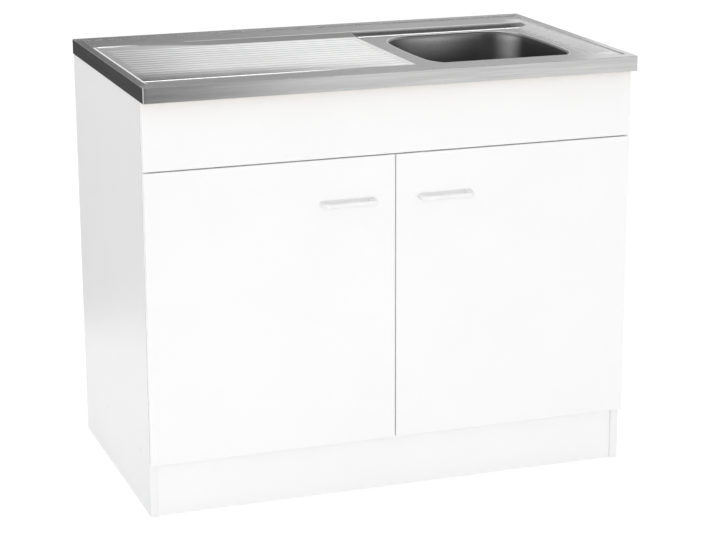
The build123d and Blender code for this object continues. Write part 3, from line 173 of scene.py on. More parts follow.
# ---- node materials -------------------------------------------------------------------------
class Look:
    """A node material with object-space coordinates and a Principled shader."""

    def __init__(self, name):
        self.material = bpy.data.materials.new(name)
        self.material.use_nodes = True
        self.tree = self.material.node_tree
        self.shader = self.tree.nodes["Principled BSDF"]
        coords = self.tree.nodes.new("ShaderNodeTexCoord")
        self.normal = coords.outputs["Normal"]
        self.place = coords.outputs["Object"]

    def node(self, kind, inputs=(), **settings):
        """A new node with its inputs linked or set."""
        made = self.tree.nodes.new(kind)
        for key, value in settings.items():
            setattr(made, key, value)
        for key, value in dict(inputs).items():
            self.put(made.inputs[key], value)
        return made

    def put(self, socket, value):
        """Links an output to a socket, or sets the socket's value."""
        if isinstance(value, bpy.types.NodeSocket):
            self.tree.links.new(value, socket)
        else:
            socket.default_value = value

    def mapped(self, source, scale):
        """Coordinates scaled by a factor for each axis."""
        return self.node("ShaderNodeMapping", {"Vector": source, "Scale": scale}).outputs[0]

    def noise(self, scale, detail=3.0, roughness=0.5, place=None):
        place = place or self.place
        inputs = {"Vector": place, "Scale": scale, "Detail": detail, "Roughness": roughness}
        return self.node("ShaderNodeTexNoise", inputs).outputs["Fac"]

    def span(self, factor, low, high, start=0.3, end=0.7):
        """The factor stretched from start..end to low..high."""
        inputs = {
            "Value": factor, "From Min": start, "From Max": end, "To Min": low, "To Max": high}
        return self.node("ShaderNodeMapRange", inputs).outputs["Result"]

    def tones(self, factor, *stops):
        """A colour ramp of (position, colour) stops."""
        ramp = self.node("ShaderNodeValToRGB", {"Fac": factor})
        elements = ramp.color_ramp.elements
        while len(elements) < len(stops):
            elements.new(0.5)
        for element, (position, colour) in zip(elements, stops):
            element.position = position
            element.color = (*colour, 1.0)
        return ramp.outputs["Color"]

    def mix(self, factor, a, b):
        """Colour a where the factor is 0 and colour b where it is 1."""
        made = self.node("ShaderNodeMix", data_type="RGBA")
        for index, value in ((0, factor), (6, a), (7, b)):
            if not isinstance(value, (bpy.types.NodeSocket, float)):
                value = (*value, 1.0)
            self.put(made.inputs[index], value)
        return made.outputs[2]

    def blend(self, mode, a, b):
        """Two colours combined by a blend mode."""
        made = self.node("ShaderNodeMix", data_type="RGBA", blend_type=mode)
        for index, value in ((0, 1.0), (6, a), (7, b)):
            self.put(made.inputs[index], value)
        return made.outputs[2]

    def maths(self, operation, a, b=0.0):
        return self.node("ShaderNodeMath", {0: a, 1: b}, operation=operation).outputs[0]

    def bump(self, height, distance, strength, normal=None):
        """A normal bent by a height, on top of another bump's normal if one is given."""
        inputs = {"Height": height, "Distance": distance, "Strength": strength}
        if normal:
            inputs["Normal"] = normal
        return self.node("ShaderNodeBump", inputs).outputs["Normal"]

    def set(self, **inputs):
        """Links or sets the shader's inputs, with _ for each space in their names."""
        for key, value in inputs.items():
            self.put(self.shader.inputs[key.replace("_", " ")], value)

    def band(self, low, high, soft, axis):
        """1 where the object coordinate lies between low and high, in metres."""
        parts = self.node("ShaderNodeSeparateXYZ", {"Vector": self.place})
        value = parts.outputs["XYZ"[axis]]
        rise = self.node("ShaderNodeMapRange", {
            "Value": value, "From Min": low - soft, "From Max": low + soft})
        fall = self.node("ShaderNodeMapRange", {
            "Value": value, "From Min": high + soft, "From Max": high - soft})
        return self.maths("MULTIPLY", rise.outputs["Result"], fall.outputs["Result"])

    def along(self, low, high, axis):
        """0 at low and 1 at high along an object axis, in metres."""
        parts = self.node("ShaderNodeSeparateXYZ", {"Vector": self.place})
        inputs = {"Value": parts.outputs["XYZ"[axis]], "From Min": low, "From Max": high}
        return self.node("ShaderNodeMapRange", inputs).outputs["Result"]

    def combed(self, pitch, middle, width, axis):
        """1 on thin lines repeated at a pitch along an axis, in metres."""
        parts = self.node("ShaderNodeSeparateXYZ", {"Vector": self.place})
        shifted = self.maths("SUBTRACT", parts.outputs["XYZ"[axis]], middle)
        offset = self.maths("PINGPONG", shifted, pitch / 2)
        inputs = {"Value": offset, "From Min": width, "From Max": width / 3}
        return self.node("ShaderNodeMapRange", inputs).outputs["Result"]

    def near(self, value, middle, half):
        """1 at middle, falling smoothly to 0 at half away."""
        away = self.maths("ABSOLUTE", self.maths("SUBTRACT", value, middle))
        inputs = {"Value": away, "From Min": half, "From Max": 0.0}
        made = self.node("ShaderNodeMapRange", inputs, interpolation_type="SMOOTHSTEP")
        return made.outputs["Result"]

    def area(self, xs, ys, soft):
        """1 inside a rectangle of the object's plan, in metres."""
        return self.maths("MULTIPLY", self.band(*xs, soft, 0), self.band(*ys, soft, 1))

    def widening(self, start, end, low, high, soft):
        """1 in a strip under y = high whose lower edge falls from there to low between two x."""
        parts = self.node("ShaderNodeSeparateXYZ", {"Vector": self.place})
        fallen = self.maths("MULTIPLY", self.along(start, end, 0), high - low)
        lifted = self.maths("ADD", parts.outputs["Y"], fallen)
        inputs = {"Value": lifted, "From Min": high - soft, "From Max": high + soft}
        return self.node("ShaderNodeMapRange", inputs).outputs["Result"]

    def facing(self, *axes):
        """1 on faces whose object-space normal looks along one of the axes."""
        total = 0.0
        for axis in axes:
            dot = self.node(
                "ShaderNodeVectorMath", {0: self.normal, 1: axis}, operation="DOT_PRODUCT")
            hit = self.maths("GREATER_THAN", dot.outputs["Value"], 0.6)
            total = self.maths("MAXIMUM", hit, total)
        return total


def grey(tone):
    """A colour of three equal shares."""
    return (tone,) * 3


def chips(look):
    """Colour, roughness and height of pressed wood chips."""
    warp = look.noise(90.0, 4.0)
    flakes = look.node("ShaderNodeTexVoronoi", {"Vector": look.place, "Scale": 330.0})
    blend = look.maths("MULTIPLY", flakes.outputs["Color"], warp)
    colour = look.tones(
        blend, (0.0, (0.30, 0.21, 0.13)), (0.25, (0.56, 0.43, 0.29)), (0.6, (0.74, 0.62, 0.46)))
    return colour, flakes.outputs["Distance"]


def coated_board(name, colour, raw_axes=(), edge=None):
    """White melamine with a fine pearl.

    The listed edges are raw particle board; edge is the tone of a front's glossy edge band,
    painted lighter than its face as painted light in the shaded gaps between the fronts.
    """
    look = Look(name)
    cloud = look.noise(5.0, 4.0)
    pearl = look.noise(1400.0, 2.0)
    low = tuple(c * 0.985 for c in colour)
    shade = look.tones(cloud, (0.3, low), (0.7, colour))
    roughness = look.span(look.noise(420.0, 3.0), 0.34, 0.44)
    normal = look.bump(pearl, 0.00002, 0.35)
    if raw_axes:
        raw = look.facing(*raw_axes)
        chip_colour, chip_height = chips(look)
        shade = look.mix(raw, shade, chip_colour)
        roughness = look.maths("MAXIMUM", roughness, look.maths("MULTIPLY", raw, 0.85))
        rugged = look.maths("MULTIPLY", chip_height, raw)
        normal = look.bump(rugged, 0.0004, 0.6, normal)
    # painted light: a front's side, top and bottom edges are lighter, which lightens the gaps
    # between fronts
    if edge:
        painted_light_edges = look.facing((1, 0, 0), (-1, 0, 0), (0, 0, 1), (0, 0, -1))
        shade = look.mix(painted_light_edges, shade, grey(edge))
    look.set(Base_Color=shade, Roughness=roughness, Normal=normal)
    return look.material


def drainer_painted_shade(look, own):
    """The drainer's tone with painted shade, darker towards its front left corner and in thin
    lines beside its ribs.
    """
    corner_painted_shade, rib_painted_shade, rib_shade_share = grey(0.30), grey(0.25), 0.45
    # painted shade towards the front left corner
    corner = look.maths("MULTIPLY", look.along(0.05, -0.25, 0), look.along(-0.12, -0.215, 1))
    own = look.blend("MULTIPLY", own, look.mix(corner, grey(1.0), corner_painted_shade))
    # thin lines of painted shade beside the ribs
    beside = look.maths("MULTIPLY", look.combed(*RIB_SHADE, 1), look.area(*RIB_AREA, FINE_EDGE))
    return look.mix(look.maths("MULTIPLY", beside, rib_shade_share), own, rib_painted_shade)


def brushed_steel(name, along, finishes_and_painted_light=()):
    """Stainless steel brushed along one axis, 0 for X and 1 for Y, with rectangles that each have
    a finish of their own and a painted tone of light and shade.
    """
    streak_scale, cloud_scale, wave_scale = [1100.0] * 3, [80.0] * 3, [26.0] * 3
    streak_scale[along], cloud_scale[along], wave_scale[along] = 7.0, 4.0, 5.0
    streak_share, contrast = 0.55, (0.38, 0.62)
    look = Look(name)
    streaks = look.noise(1.0, 3.0, 0.6, look.mapped(look.place, streak_scale))
    clouds = look.noise(1.0, 3.0, 0.6, look.mapped(look.place, cloud_scale))
    waves = look.noise(1.0, 1.0, 0.4, look.mapped(look.place, wave_scale))
    both = look.maths(
        "ADD", look.maths("MULTIPLY", streaks, streak_share),
        look.maths("MULTIPLY", clouds, 1 - streak_share))
    dark, light = (tuple(c * share for c in BRUSHED) for share in (0.87, 1.09))
    shade = look.tones(both, (contrast[0], dark), (contrast[1], light))
    roughness = look.span(both, *BRUSHED_ROUGH)
    metal = 1.0
    for painted_region in finishes_and_painted_light:
        inside = look.area(painted_region.xs, painted_region.ys, painted_region.soft)
        # the wedge of painted shade widens along X
        if painted_region is WEDGE_PAINTED_SHADE:
            wedge = look.widening(*WEDGE_WIDENS, *painted_region.ys, painted_region.soft)
            inside = look.maths("MULTIPLY", inside, wedge)
        metal = look.maths("SUBTRACT", metal, look.maths("MULTIPLY", inside, painted_region.matt))
        # the rectangle's painted light and shade, as tones along X
        stops = ((share, grey(tone)) for share, tone in painted_region.tones)
        tone = look.tones(look.along(*painted_region.xs, 0), *stops)
        worn = look.mix(look.span(both, 0.0, 1.0, *contrast), grey(0.88), grey(1.0))
        own = look.blend("MULTIPLY", tone, worn)
        # painted shade on the drainer, towards its front left and beside its ribs
        if painted_region is DRAINER_FINISH_AND_PAINTED_LIGHT:
            own = drainer_painted_shade(look, own)
        shade = look.mix(inside, shade, own)
        roughness = look.maths(
            "ADD", roughness, look.maths("MULTIPLY", inside, painted_region.rougher))
    direction = [1.0, 1.0, 1.0]
    direction[along] = 0.0
    tangent = look.node("ShaderNodeCombineXYZ", dict(zip("XYZ", direction))).outputs[0]
    look.set(
        Base_Color=shade, Metallic=metal, Roughness=roughness, Anisotropic=0.55,
        Tangent=tangent, Normal=look.bump(streaks, 0.00001, 0.3, look.bump(waves, 0.002, 0.25)))
    return look.material


def bowl_steel(name, dark, light):
    """Drawn steel of the bowl, painted dark as painted shade in its depth, with painted highlights
    in two bands round its rear corners, where it is also less metal.
    """
    under_lip = (0.6, 0.8345, 0.002)    # heights of the painted highlight bands and the softness of their ends
    right_middle, right_half = math.radians(46), math.radians(13)
    left_middle, left_half, left_share = math.radians(100), math.radians(36), 0.8
    look = Look(name)
    grain = look.noise(700.0, 4.0)
    draw = look.noise(1.0, 3.0, 0.5, look.mapped(look.place, (9.0, 9.0, 60.0)))
    parts = look.node("ShaderNodeSeparateXYZ", {"Vector": look.place})
    x = look.maths("SUBTRACT", parts.outputs["X"], BOWL_X * MM)
    y = look.maths("SUBTRACT", parts.outputs["Y"], BOWL_Y * MM)
    angle = look.maths("ARCTAN2", y, x)
    in_bowl = look.band(*under_lip, 2)
    high = look.maths("MULTIPLY", look.along(0.785, 0.828, 2), in_bowl)
    right = look.maths("MULTIPLY", look.near(angle, right_middle, right_half), in_bowl)
    left = look.maths("MULTIPLY", look.near(angle, left_middle, left_half), high)
    left = look.maths("MULTIPLY", left, left_share)
    off_floor = look.along(0.715, 0.760, 2)
    painted_highlight = look.maths("MULTIPLY", look.maths("MAXIMUM", right, left), off_floor)
    # dark is painted shade over the whole bowl, light the painted highlight in the bands
    tone = look.mix(painted_highlight, grey(dark), grey(light))
    drawn = look.tones(draw, (0.3, grey(0.9)), (0.7, grey(1.0)))
    look.set(
        Base_Color=look.blend("MULTIPLY", tone, drawn),
        Metallic=look.span(painted_highlight, 1.0, 0.72, 0.0, 1.0), Roughness=look.span(grain, 0.26, 0.36),
        Normal=look.bump(grain, 0.00003, 0.3))
    return look.material


def satin_steel(name, colour, rough=(0.3, 0.42), metal=1.0):
    """Plated or pressed small steel parts."""
    look = Look(name)
    grain = look.noise(700.0, 4.0)
    stain = look.noise(60.0, 3.0)
    dark = tuple(c * 0.82 for c in colour)
    shade = look.tones(stain, (0.3, dark), (0.7, colour))
    look.set(
        Base_Color=shade, Metallic=metal, Roughness=look.span(grain, *rough),
        Normal=look.bump(grain, 0.00003, 0.3))
    return look.material


def moulded(name, colour, rough, grain_scale=900.0, depth=0.00002, variation=0.96):
    """Moulded plastic or rubber with a fine grain and slight colour drift."""
    look = Look(name)
    drift = look.noise(30.0, 3.0)
    grain = look.noise(grain_scale, 3.0)
    low = tuple(c * variation for c in colour)
    look.set(
        Base_Color=look.tones(drift, (0.3, low), (0.7, colour)),
        Roughness=look.span(grain, *rough), Normal=look.bump(grain, depth, 0.4))
    return look.material


def particle_board(name):
    """Raw pressed chips."""
    look = Look(name)
    colour, height = chips(look)
    look.set(Base_Color=colour, Roughness=0.85, Normal=look.bump(height, 0.0004, 0.6))
    return look.material


def beech(name):
    """Turned wood with its rings along X."""
    look = Look(name)
    rings = look.noise(1.0, 4.0, 0.6, look.mapped(look.place, (20.0, 600.0, 600.0)))
    colour = look.tones(rings, (0.3, (0.55, 0.38, 0.22)), (0.7, (0.76, 0.58, 0.38)))
    look.set(Base_Color=colour, Roughness=0.6, Normal=look.bump(rings, 0.0001, 0.4))
    return look.material


def bitumen(name):
    """The damping pad: dark, with a stamped grid."""
    look = Look(name)
    cells = look.node(
        "ShaderNodeTexVoronoi", {"Vector": look.place, "Scale": 110.0, "Randomness": 0.0},
        distance="CHEBYCHEV")
    grain = look.noise(500.0, 4.0)
    colour = look.tones(grain, (0.3, (0.02, 0.02, 0.02)), (0.7, (0.06, 0.06, 0.058)))
    look.set(
        Base_Color=colour, Roughness=look.span(grain, 0.6, 0.8),
        Normal=look.bump(cells.outputs["Distance"], 0.0008, 0.6))
    return look.material


# Each entry is a rectangle of the sink's plan, in metres, with a finish and painted light and
# shade: its tones are (share of X, tone) stops of the painted tone, rougher is added roughness,
# soft its edge's softness and matt the share that isn't metal.
FinishAndPaintedLight = namedtuple("FinishAndPaintedLight", "xs ys tones rougher soft matt")
FINE_EDGE, THIN_EDGE, BROAD_EDGE = 0.003, 0.001, 0.012
# the drainer: painted light, dark at its left end and lighter towards the bowl, also rougher and
# partly matt
DRAINER_FINISH_AND_PAINTED_LIGHT = FinishAndPaintedLight(
    (-0.479, 0.071), (-0.227, 0.1865), ((0.0, 0.48), (0.3, 0.83), (0.7, 0.97), (1.0, 1.0)),
    0.18, FINE_EDGE, 0.30)
# a dark wedge of painted shade along the rear ramp behind the drainer
WEDGE_PAINTED_SHADE = FinishAndPaintedLight(
    (-0.479, 0.076), (0.150, 0.189), ((0.0, 0.50), (0.35, 0.36), (0.6, 0.32), (1.0, 0.32)),
    0.0, FINE_EDGE, 0.0)
WEDGE_WIDENS = (-0.45, -0.24)            # where the wedge of painted shade widens, from and to, in X
DECK_FINISHES_AND_PAINTED_LIGHT = (
    DRAINER_FINISH_AND_PAINTED_LIGHT,
    # right deck beside the bowl: painted highlight, lightest at its right, also rougher and partly
    # matt
    FinishAndPaintedLight((0.440, 0.480), (-0.250, 0.235), ((0.0, 0.90), (1.0, 1.0)), 0.10, BROAD_EDGE, 0.14),
    # rear ramp behind the bowl, and behind the drainer: painted shade, darker towards the right
    FinishAndPaintedLight((0.076, 0.461), (0.1585, 0.189), ((0.0, 0.46), (1.0, 0.33)), -0.02, FINE_EDGE, 0.0),
    WEDGE_PAINTED_SHADE,
    # left rim: painted shade, darker than the deck
    FinishAndPaintedLight((-0.503, -0.4845), (-0.268, 0.268), ((0.0, 0.36), (1.0, 0.38)), 0.0, FINE_EDGE, 0.0),
    # painted highlight lines: left bead, front bead, kick at the rear left, and top of the ramp
    FinishAndPaintedLight((-0.4830, -0.4770), (-0.250, 0.182), ((0.0, 1.0), (1.0, 1.0)), 0.0, THIN_EDGE, 0.3),
    FinishAndPaintedLight((-0.480, -0.050), (-0.2310, -0.2250), ((0.0, 1.0), (0.6, 1.0), (1.0, 0.6)),
           0.0, THIN_EDGE, 0.3),
    FinishAndPaintedLight((-0.472, -0.390), (0.1840, 0.1900), ((0.0, 1.0), (0.5, 1.0), (1.0, 0.8)),
           0.0, THIN_EDGE, 0.3),
    FinishAndPaintedLight((-0.290, 0.462), (0.1890, 0.1970), ((0.0, 0.90), (1.0, 1.0)), 0.0, THIN_EDGE, 0.3),
)
RIB_AREA = ((-0.468, 0.056), (-0.203, 0.138))
RIB_SHADE = (0.025, -0.0260, 0.0030)     # pitch, a middle line and width of the ribs' dark sides
BRUSHED, BRUSHED_ROUGH = (0.60, 0.60, 0.598), (0.16, 0.24)
# the plinth's white is painted lighter than the other boards': painted light for the weaker light
# it gets
WHITE, FRONT_WHITE, PLINTH_PAINTED_LIGHTER = grey(0.88), grey(0.90), grey(0.92)
BACK_EDGE = (0, 1, 0)
TOP_AND_BOTTOM = ((0, 0, 1), (0, 0, -1))
LOOKS = {
    "side": coated_board("board_side", WHITE, (BACK_EDGE, *TOP_AND_BOTTOM)),
    "flat": coated_board("board_flat", WHITE, (BACK_EDGE,)),
    "rail": coated_board("board_rail", WHITE, TOP_AND_BOTTOM),
    # the fronts' edges are painted lighter, as painted light in the gaps
    "front": coated_board("front_white", FRONT_WHITE, edge=0.985),
    # the plinth board, painted lighter as painted light
    "plinth": coated_board("board_plinth", PLINTH_PAINTED_LIGHTER),
    # the deck's steel, with painted light and shade in rectangles of its plan
    "steel_x": brushed_steel("steel_brushed_x", 0, DECK_FINISHES_AND_PAINTED_LIGHT),
    "steel_y": brushed_steel("steel_brushed_y", 1),
    # the bowl's steel: dark as painted shade, lighter in bands of painted highlight
    "steel_bowl": bowl_steel("steel_bowl", 0.26, 0.78),
    # the ring round the bowl's mouth: lighter, partly matt steel as a painted highlight
    "steel_lip_highlight": satin_steel("steel_lip_highlight", grey(0.78), (0.26, 0.34), 0.85),
    "zinc": satin_steel("zinc_plated", (0.66, 0.68, 0.70)),
    "nickel": satin_steel("nickel_plated", (0.62, 0.61, 0.59), (0.2, 0.32)),
    "plastic": moulded("plastic_white", grey(0.88), (0.26, 0.36)),
    "clear": moulded("buffer_soft", (0.80, 0.80, 0.78), (0.35, 0.5)),
    "chip": particle_board("particle_board"),
    "beech": beech("beech_dowel"),
    "pad": bitumen("damping_pad"),
    "rubber": moulded("rubber_black", grey(0.045), (0.5, 0.68), 600.0, 0.00006, 0.7),
    "trap": moulded("trap_plastic", (0.80, 0.80, 0.79), (0.36, 0.5), 700.0),
}
NODE_LOOKS = {
    "side": ("side_panel_left", "side_panel_right"),
    "flat": ("bottom_panel",),
    "rail": ("front_rail", "rear_rail_upper", "rear_rail_lower"),
    "plinth": ("plinth_board",),
    "front": ("fascia_panel", "door_left", "door_right"),
    "beech": ("dowels",),
    "zinc": (
        "cam_bolts", "cam_housings", "panel_screws", "fascia_screws", "handle_screws_left",
        "handle_screws_right", "sink_brackets", "sink_bracket_screws", "hinge_plate_screws",
        "hinge_arm_screws", "hinge_cup_screws_left", "hinge_cup_screws_right"),
    "nickel": (
        "hinge_plates", "hinge_arms", "hinge_pins", "hinge_cups_left", "hinge_cups_right",
        "hinge_links_left", "hinge_links_right"),
    "plastic": ("cover_caps", "fascia_spacers"),
    "clear": ("door_buffers",),
    "steel_bowl": ("waste_flange", "waste_screw"),
    "chip": ("sink_batten_front", "sink_batten_rear", "sink_batten_left", "sink_batten_right"),
    "pad": ("sound_pad",),
    "rubber": ("waste_gasket", "drain_plug"),
    "trap": ("waste_body", "trap_tail_pipe", "trap_body", "trap_outlet_pipe"),
}
for look_name, names in NODE_LOOKS.items():
    for name in names:
        slots = NODES[name].data.materials
        for index in range(max(1, len(slots))):
            if index < len(slots):
                slots[index] = LOOKS[look_name]
            else:
                slots.append(LOOKS[look_name])


# ---- the sink's top --------------------------------------------------------------------------
def field_depth(x):
    """How far the sunken field's floor lies below the deck at x, left of its right slope."""
    left = FIELD[0]
    along = (x - left) / (DRAINER_END - left)
    depth = DRAINER_DROP[0] + (DRAINER_DROP[1] - DRAINER_DROP[0]) * max(0.0, min(1.0, along))
    depth *= ease((x - left) / FRONT_RUN)
    return depth + (BASIN_DROP - DRAINER_DROP[1]) * ease((x - DRAINER_END) / STEP_RUN)


def field_shape(x, y):
    """0 at the field's rear and right edges and 1 inside, round in the corner between them."""
    left, right, _, back = FIELD
    grown = ease((x - left) / RAMP_WIDENS)
    gentle = RAMP_GENTLE * grown
    run = RAMP_START + (BACK_RUN - RAMP_START) * grown
    kick = RAMP_KICK / run
    u, v = (back - y) / run, (right - x) / RIGHT_RUN
    if v >= 1:
        return ramp(u, gentle, kick)
    if u >= 1:
        return ease(v)
    away = math.hypot(1 - u, 1 - v)
    share = (1 - u) / away
    return share * ramp(1 - away, gentle, kick) + (1 - share) * ease(1 - away)


def rib_line(index):
    """Y of the middle line of a rib."""
    return RIB_MIDDLE + (index - (RIB_COUNT - 1) / 2) * RIB_PITCH


def rib_height(x, y):
    """Height of the drainer's ribs over its floor."""
    nearest = min(RIB_COUNT - 1, max(0, round((y - rib_line(0)) / RIB_PITCH)))
    across = 1.0 - ease((abs(y - rib_line(nearest)) - RIB_CREST) / (RIB_HALF - RIB_CREST))
    left, right = FIELD[0] + RIB_MARGIN, DRAINER_END - RIB_MARGIN
    return RIB_RISE * across * ease((x - left) / RIB_FADE) * ease((right - x) / RIB_FADE)


def top_height(x, y):
    """Height of the sink's upper face at x, y outside the bowl."""
    left, right, front, back = FIELD
    rim_run = REAR_RIM_RUN if y > 0 else RIM_RUN
    rim = max(
        ease((abs(x) - RIM_X) / RIM_RUN + 0.5), ease((abs(y) - RIM_Y) / rim_run + 0.5))
    z = DECK_Z + (RIM_Z - DECK_Z) * rim
    if left < x < right and front < y < back:
        z -= field_depth(x) * ease((y - front) / FRONT_RUN) * field_shape(x, y)
        z += rib_height(x, y)
    if x < right and y < back:
        fade = ease((right - x) / BEAD_RIGHT_FADE) * ease((back - y) / BEAD_REAR_FADE)
        along_front = bead(y - front) * (x > left) * ease((BEAD_END - x) / BEAD_FADE)
        z += max(along_front, bead(x - left) * (y > front)) * fade
    return z


def ramp(t, gentle, kick):
    """The rear ramp's fall from 0 at the deck to 1 at its foot: gentle, then a steep kick."""
    s = max(0.0, min(1.0, t / (1 - kick)))
    return gentle * s * s * (2 - s) + (1 - gentle) * ease((t - 1 + kick) / kick)


def bead(offset):
    """A small raised bead across its middle line."""
    return BEAD_RISE * (1.0 - ease(abs(offset) / BEAD_HALF))


def lines(*runs):
    """Sorted grid positions from (low, high, count) runs, without near doubles."""
    values = sorted(v for low, high, count in runs for v in spread(low, high, count))
    kept = [values[0]]
    for value in values[1:]:
        if value - kept[-1] > NEAR_DOUBLE:
            kept.append(value)
    return kept


def sink_grid_lines():
    """Grid positions in X and Y, closer wherever the sheet is formed."""
    left, right, front, back = FIELD
    margin = 3.0           # on both sides of a fold
    rib_run = 22.0         # from the drainer's ends over the ends of its ribs
    foot_run = 7.0         # over the ramp's steep foot
    ramp_foot = back - BACK_RUN - 1
    arc_x = (BOWL_X - STRAIGHT_X, BOWL_X + STRAIGHT_X)
    arc_y = (BOWL_Y - STRAIGHT_Y, BOWL_Y + STRAIGHT_Y)
    xs = lines(
        (-TOP_X, -TOP_X + margin, 4), (-TOP_X + margin, -RIM_X - margin, 3),
        (-RIM_X - margin, left - margin, 6), (left - margin, left + 5, 16),
        (left + 5, left + rib_run, 10), (left + rib_run, DRAINER_END - rib_run, 30),
        (DRAINER_END - rib_run, DRAINER_END - 2, 10),
        (DRAINER_END - 1, DRAINER_END + STEP_RUN + 1, 8), (DRAINER_END + 10, HOLE[0], 3),
        (HOLE[0], arc_x[0], 9), (arc_x[0], arc_x[1], 20), (arc_x[1], HOLE[1], 9),
        (HOLE[1], right + 1, 22), (right + 1, RIM_X + margin, 9),
        (RIM_X + margin, TOP_X - margin, 3), (TOP_X - margin, TOP_X, 4))
    ys = [
        (-TOP_Y, -TOP_Y + margin, 4), (-TOP_Y + margin, -RIM_Y - margin, 4),
        (-RIM_Y - margin, -RIM_Y + margin, 6), (-RIM_Y + margin, front - 1, 6),
        (front - margin, front + 5, 16), (ramp_foot, ramp_foot + foot_run, 10),
        (ramp_foot + foot_run, back + 2, 27), (back + 2, RIM_Y - margin, 10),
        (RIM_Y - margin, RIM_Y + margin, 6), (RIM_Y + margin, TOP_Y - margin, 4),
        (TOP_Y - margin, TOP_Y, 4)]
    ys += [(y, y, 1) for y in (HOLE[2], HOLE[3], *arc_y)]
    for index in range(RIB_COUNT):
        middle = rib_line(index)
        ys.append((middle - RIB_HALF, middle + RIB_HALF, 10))
        ys.append((middle + RIB_HALF, middle + RIB_PITCH - RIB_HALF, 3))
    return xs, lines(*ys)


def bowl_point(x, y, shrink):
    """The point of the bowl's outline, shrunk by shrink, that answers x, y on the hole's edge."""
    dx, dy = x - BOWL_X, y - BOWL_Y
    side_x, side_y = math.copysign(1, dx), math.copysign(1, dy)
    half_x, half_y = BOWL_HALF[0] - shrink, BOWL_HALF[1] - shrink
    on_x_side = min(abs(x - HOLE[0]), abs(x - HOLE[1])) < min(abs(y - HOLE[2]), abs(y - HOLE[3]))
    if on_x_side and abs(dy) <= STRAIGHT_Y:
        px, py = side_x * half_x, dy
    elif not on_x_side and abs(dx) <= STRAIGHT_X:
        px, py = dx, side_y * half_y
    else:
        if on_x_side:
            reach = (HOLE[3] if dy > 0 else HOLE[2]) - BOWL_Y
            angle = math.pi / 4 * (abs(dy) - STRAIGHT_Y) / (abs(reach) - STRAIGHT_Y)
        else:
            reach = (HOLE[1] if dx > 0 else HOLE[0]) - BOWL_X
            angle = math.pi / 2 - math.pi / 4 * (abs(dx) - STRAIGHT_X) / (abs(reach) - STRAIGHT_X)
        radius = BOWL_CORNER - shrink
        px = side_x * (STRAIGHT_X + radius * math.cos(angle))
        py = side_y * (STRAIGHT_Y + radius * math.sin(angle))
    px *= 1 - BOWL_BOW / BOWL_HALF[0] * (py / BOWL_HALF[1]) ** 2
    return BOWL_X + px, BOWL_Y + py


def bowl_profile():
    """(shrink, height) of the bowl's wall from the basin over the lip to the floor."""
    rows = [(-LIP_R - LIP_RING, BASIN_Z)]
    for angle in spread(0, math.pi / 2 - BOWL_TAPER, 7):
        rows.append((LIP_R * (math.sin(angle) - 1), BASIN_Z - LIP_R * (1 - math.cos(angle))))
    centre_z = BASIN_Z - BOWL_DEPTH + BOWL_FLOOR_R
    centre_in = (BASIN_Z - centre_z) * math.tan(BOWL_TAPER) + BOWL_FLOOR_R / math.cos(BOWL_TAPER)
    floor_round = [
        (centre_in - BOWL_FLOOR_R * math.cos(angle), centre_z - BOWL_FLOOR_R * math.sin(angle))
        for angle in spread(-BOWL_TAPER, math.pi / 2, 10)]
    wall = (rows[-1], floor_round[0])
    for share in spread(0, 1, 8)[1:-1]:
        rows.append(tuple(a + (b - a) * share for a, b in zip(*wall)))
    return rows + floor_round


def rounded(x, y):
    """A point moved onto the round of the sheet's plan corners, and the way out there."""
    over_x, over_y = abs(x) - (TOP_X - PLAN_CORNER), abs(y) - (TOP_Y - PLAN_CORNER)
    if over_x <= 0 or over_y <= 0:
        return (x, y), None
    angle, reach = math.atan2(over_y, over_x), max(over_x, over_y)
    nx, ny = math.copysign(math.cos(angle), x), math.copysign(math.sin(angle), y)
    centre_x = math.copysign(TOP_X - PLAN_CORNER, x)
    centre_y = math.copysign(TOP_Y - PLAN_CORNER, y)
    return (centre_x + nx * reach, centre_y + ny * reach), (nx, ny)


def sheet_grid(mesh, xs, ys):
    """The sheet's upper face round the hole for the bowl, as {(i, j): vertex}."""
    grid = {}
    for i, x in enumerate(xs):
        for j, y in enumerate(ys):
            in_x = HOLE[0] + HOLE_SLACK < x < HOLE[1] - HOLE_SLACK
            if not (in_x and HOLE[2] + HOLE_SLACK < y < HOLE[3] - HOLE_SLACK):
                grid[i, j] = mesh.verts.new((x, y, top_height(x, y)))
    for i in range(len(xs) - 1):
        for j in range(len(ys) - 1):
            in_x = HOLE[0] - HOLE_SLACK < xs[i] and xs[i + 1] < HOLE[1] + HOLE_SLACK
            in_y = HOLE[2] - HOLE_SLACK < ys[j] and ys[j + 1] < HOLE[3] + HOLE_SLACK
            if not (in_x and in_y):
                mesh.faces.new([grid[i, j], grid[i + 1, j], grid[i + 1, j + 1], grid[i, j + 1]])
    return grid


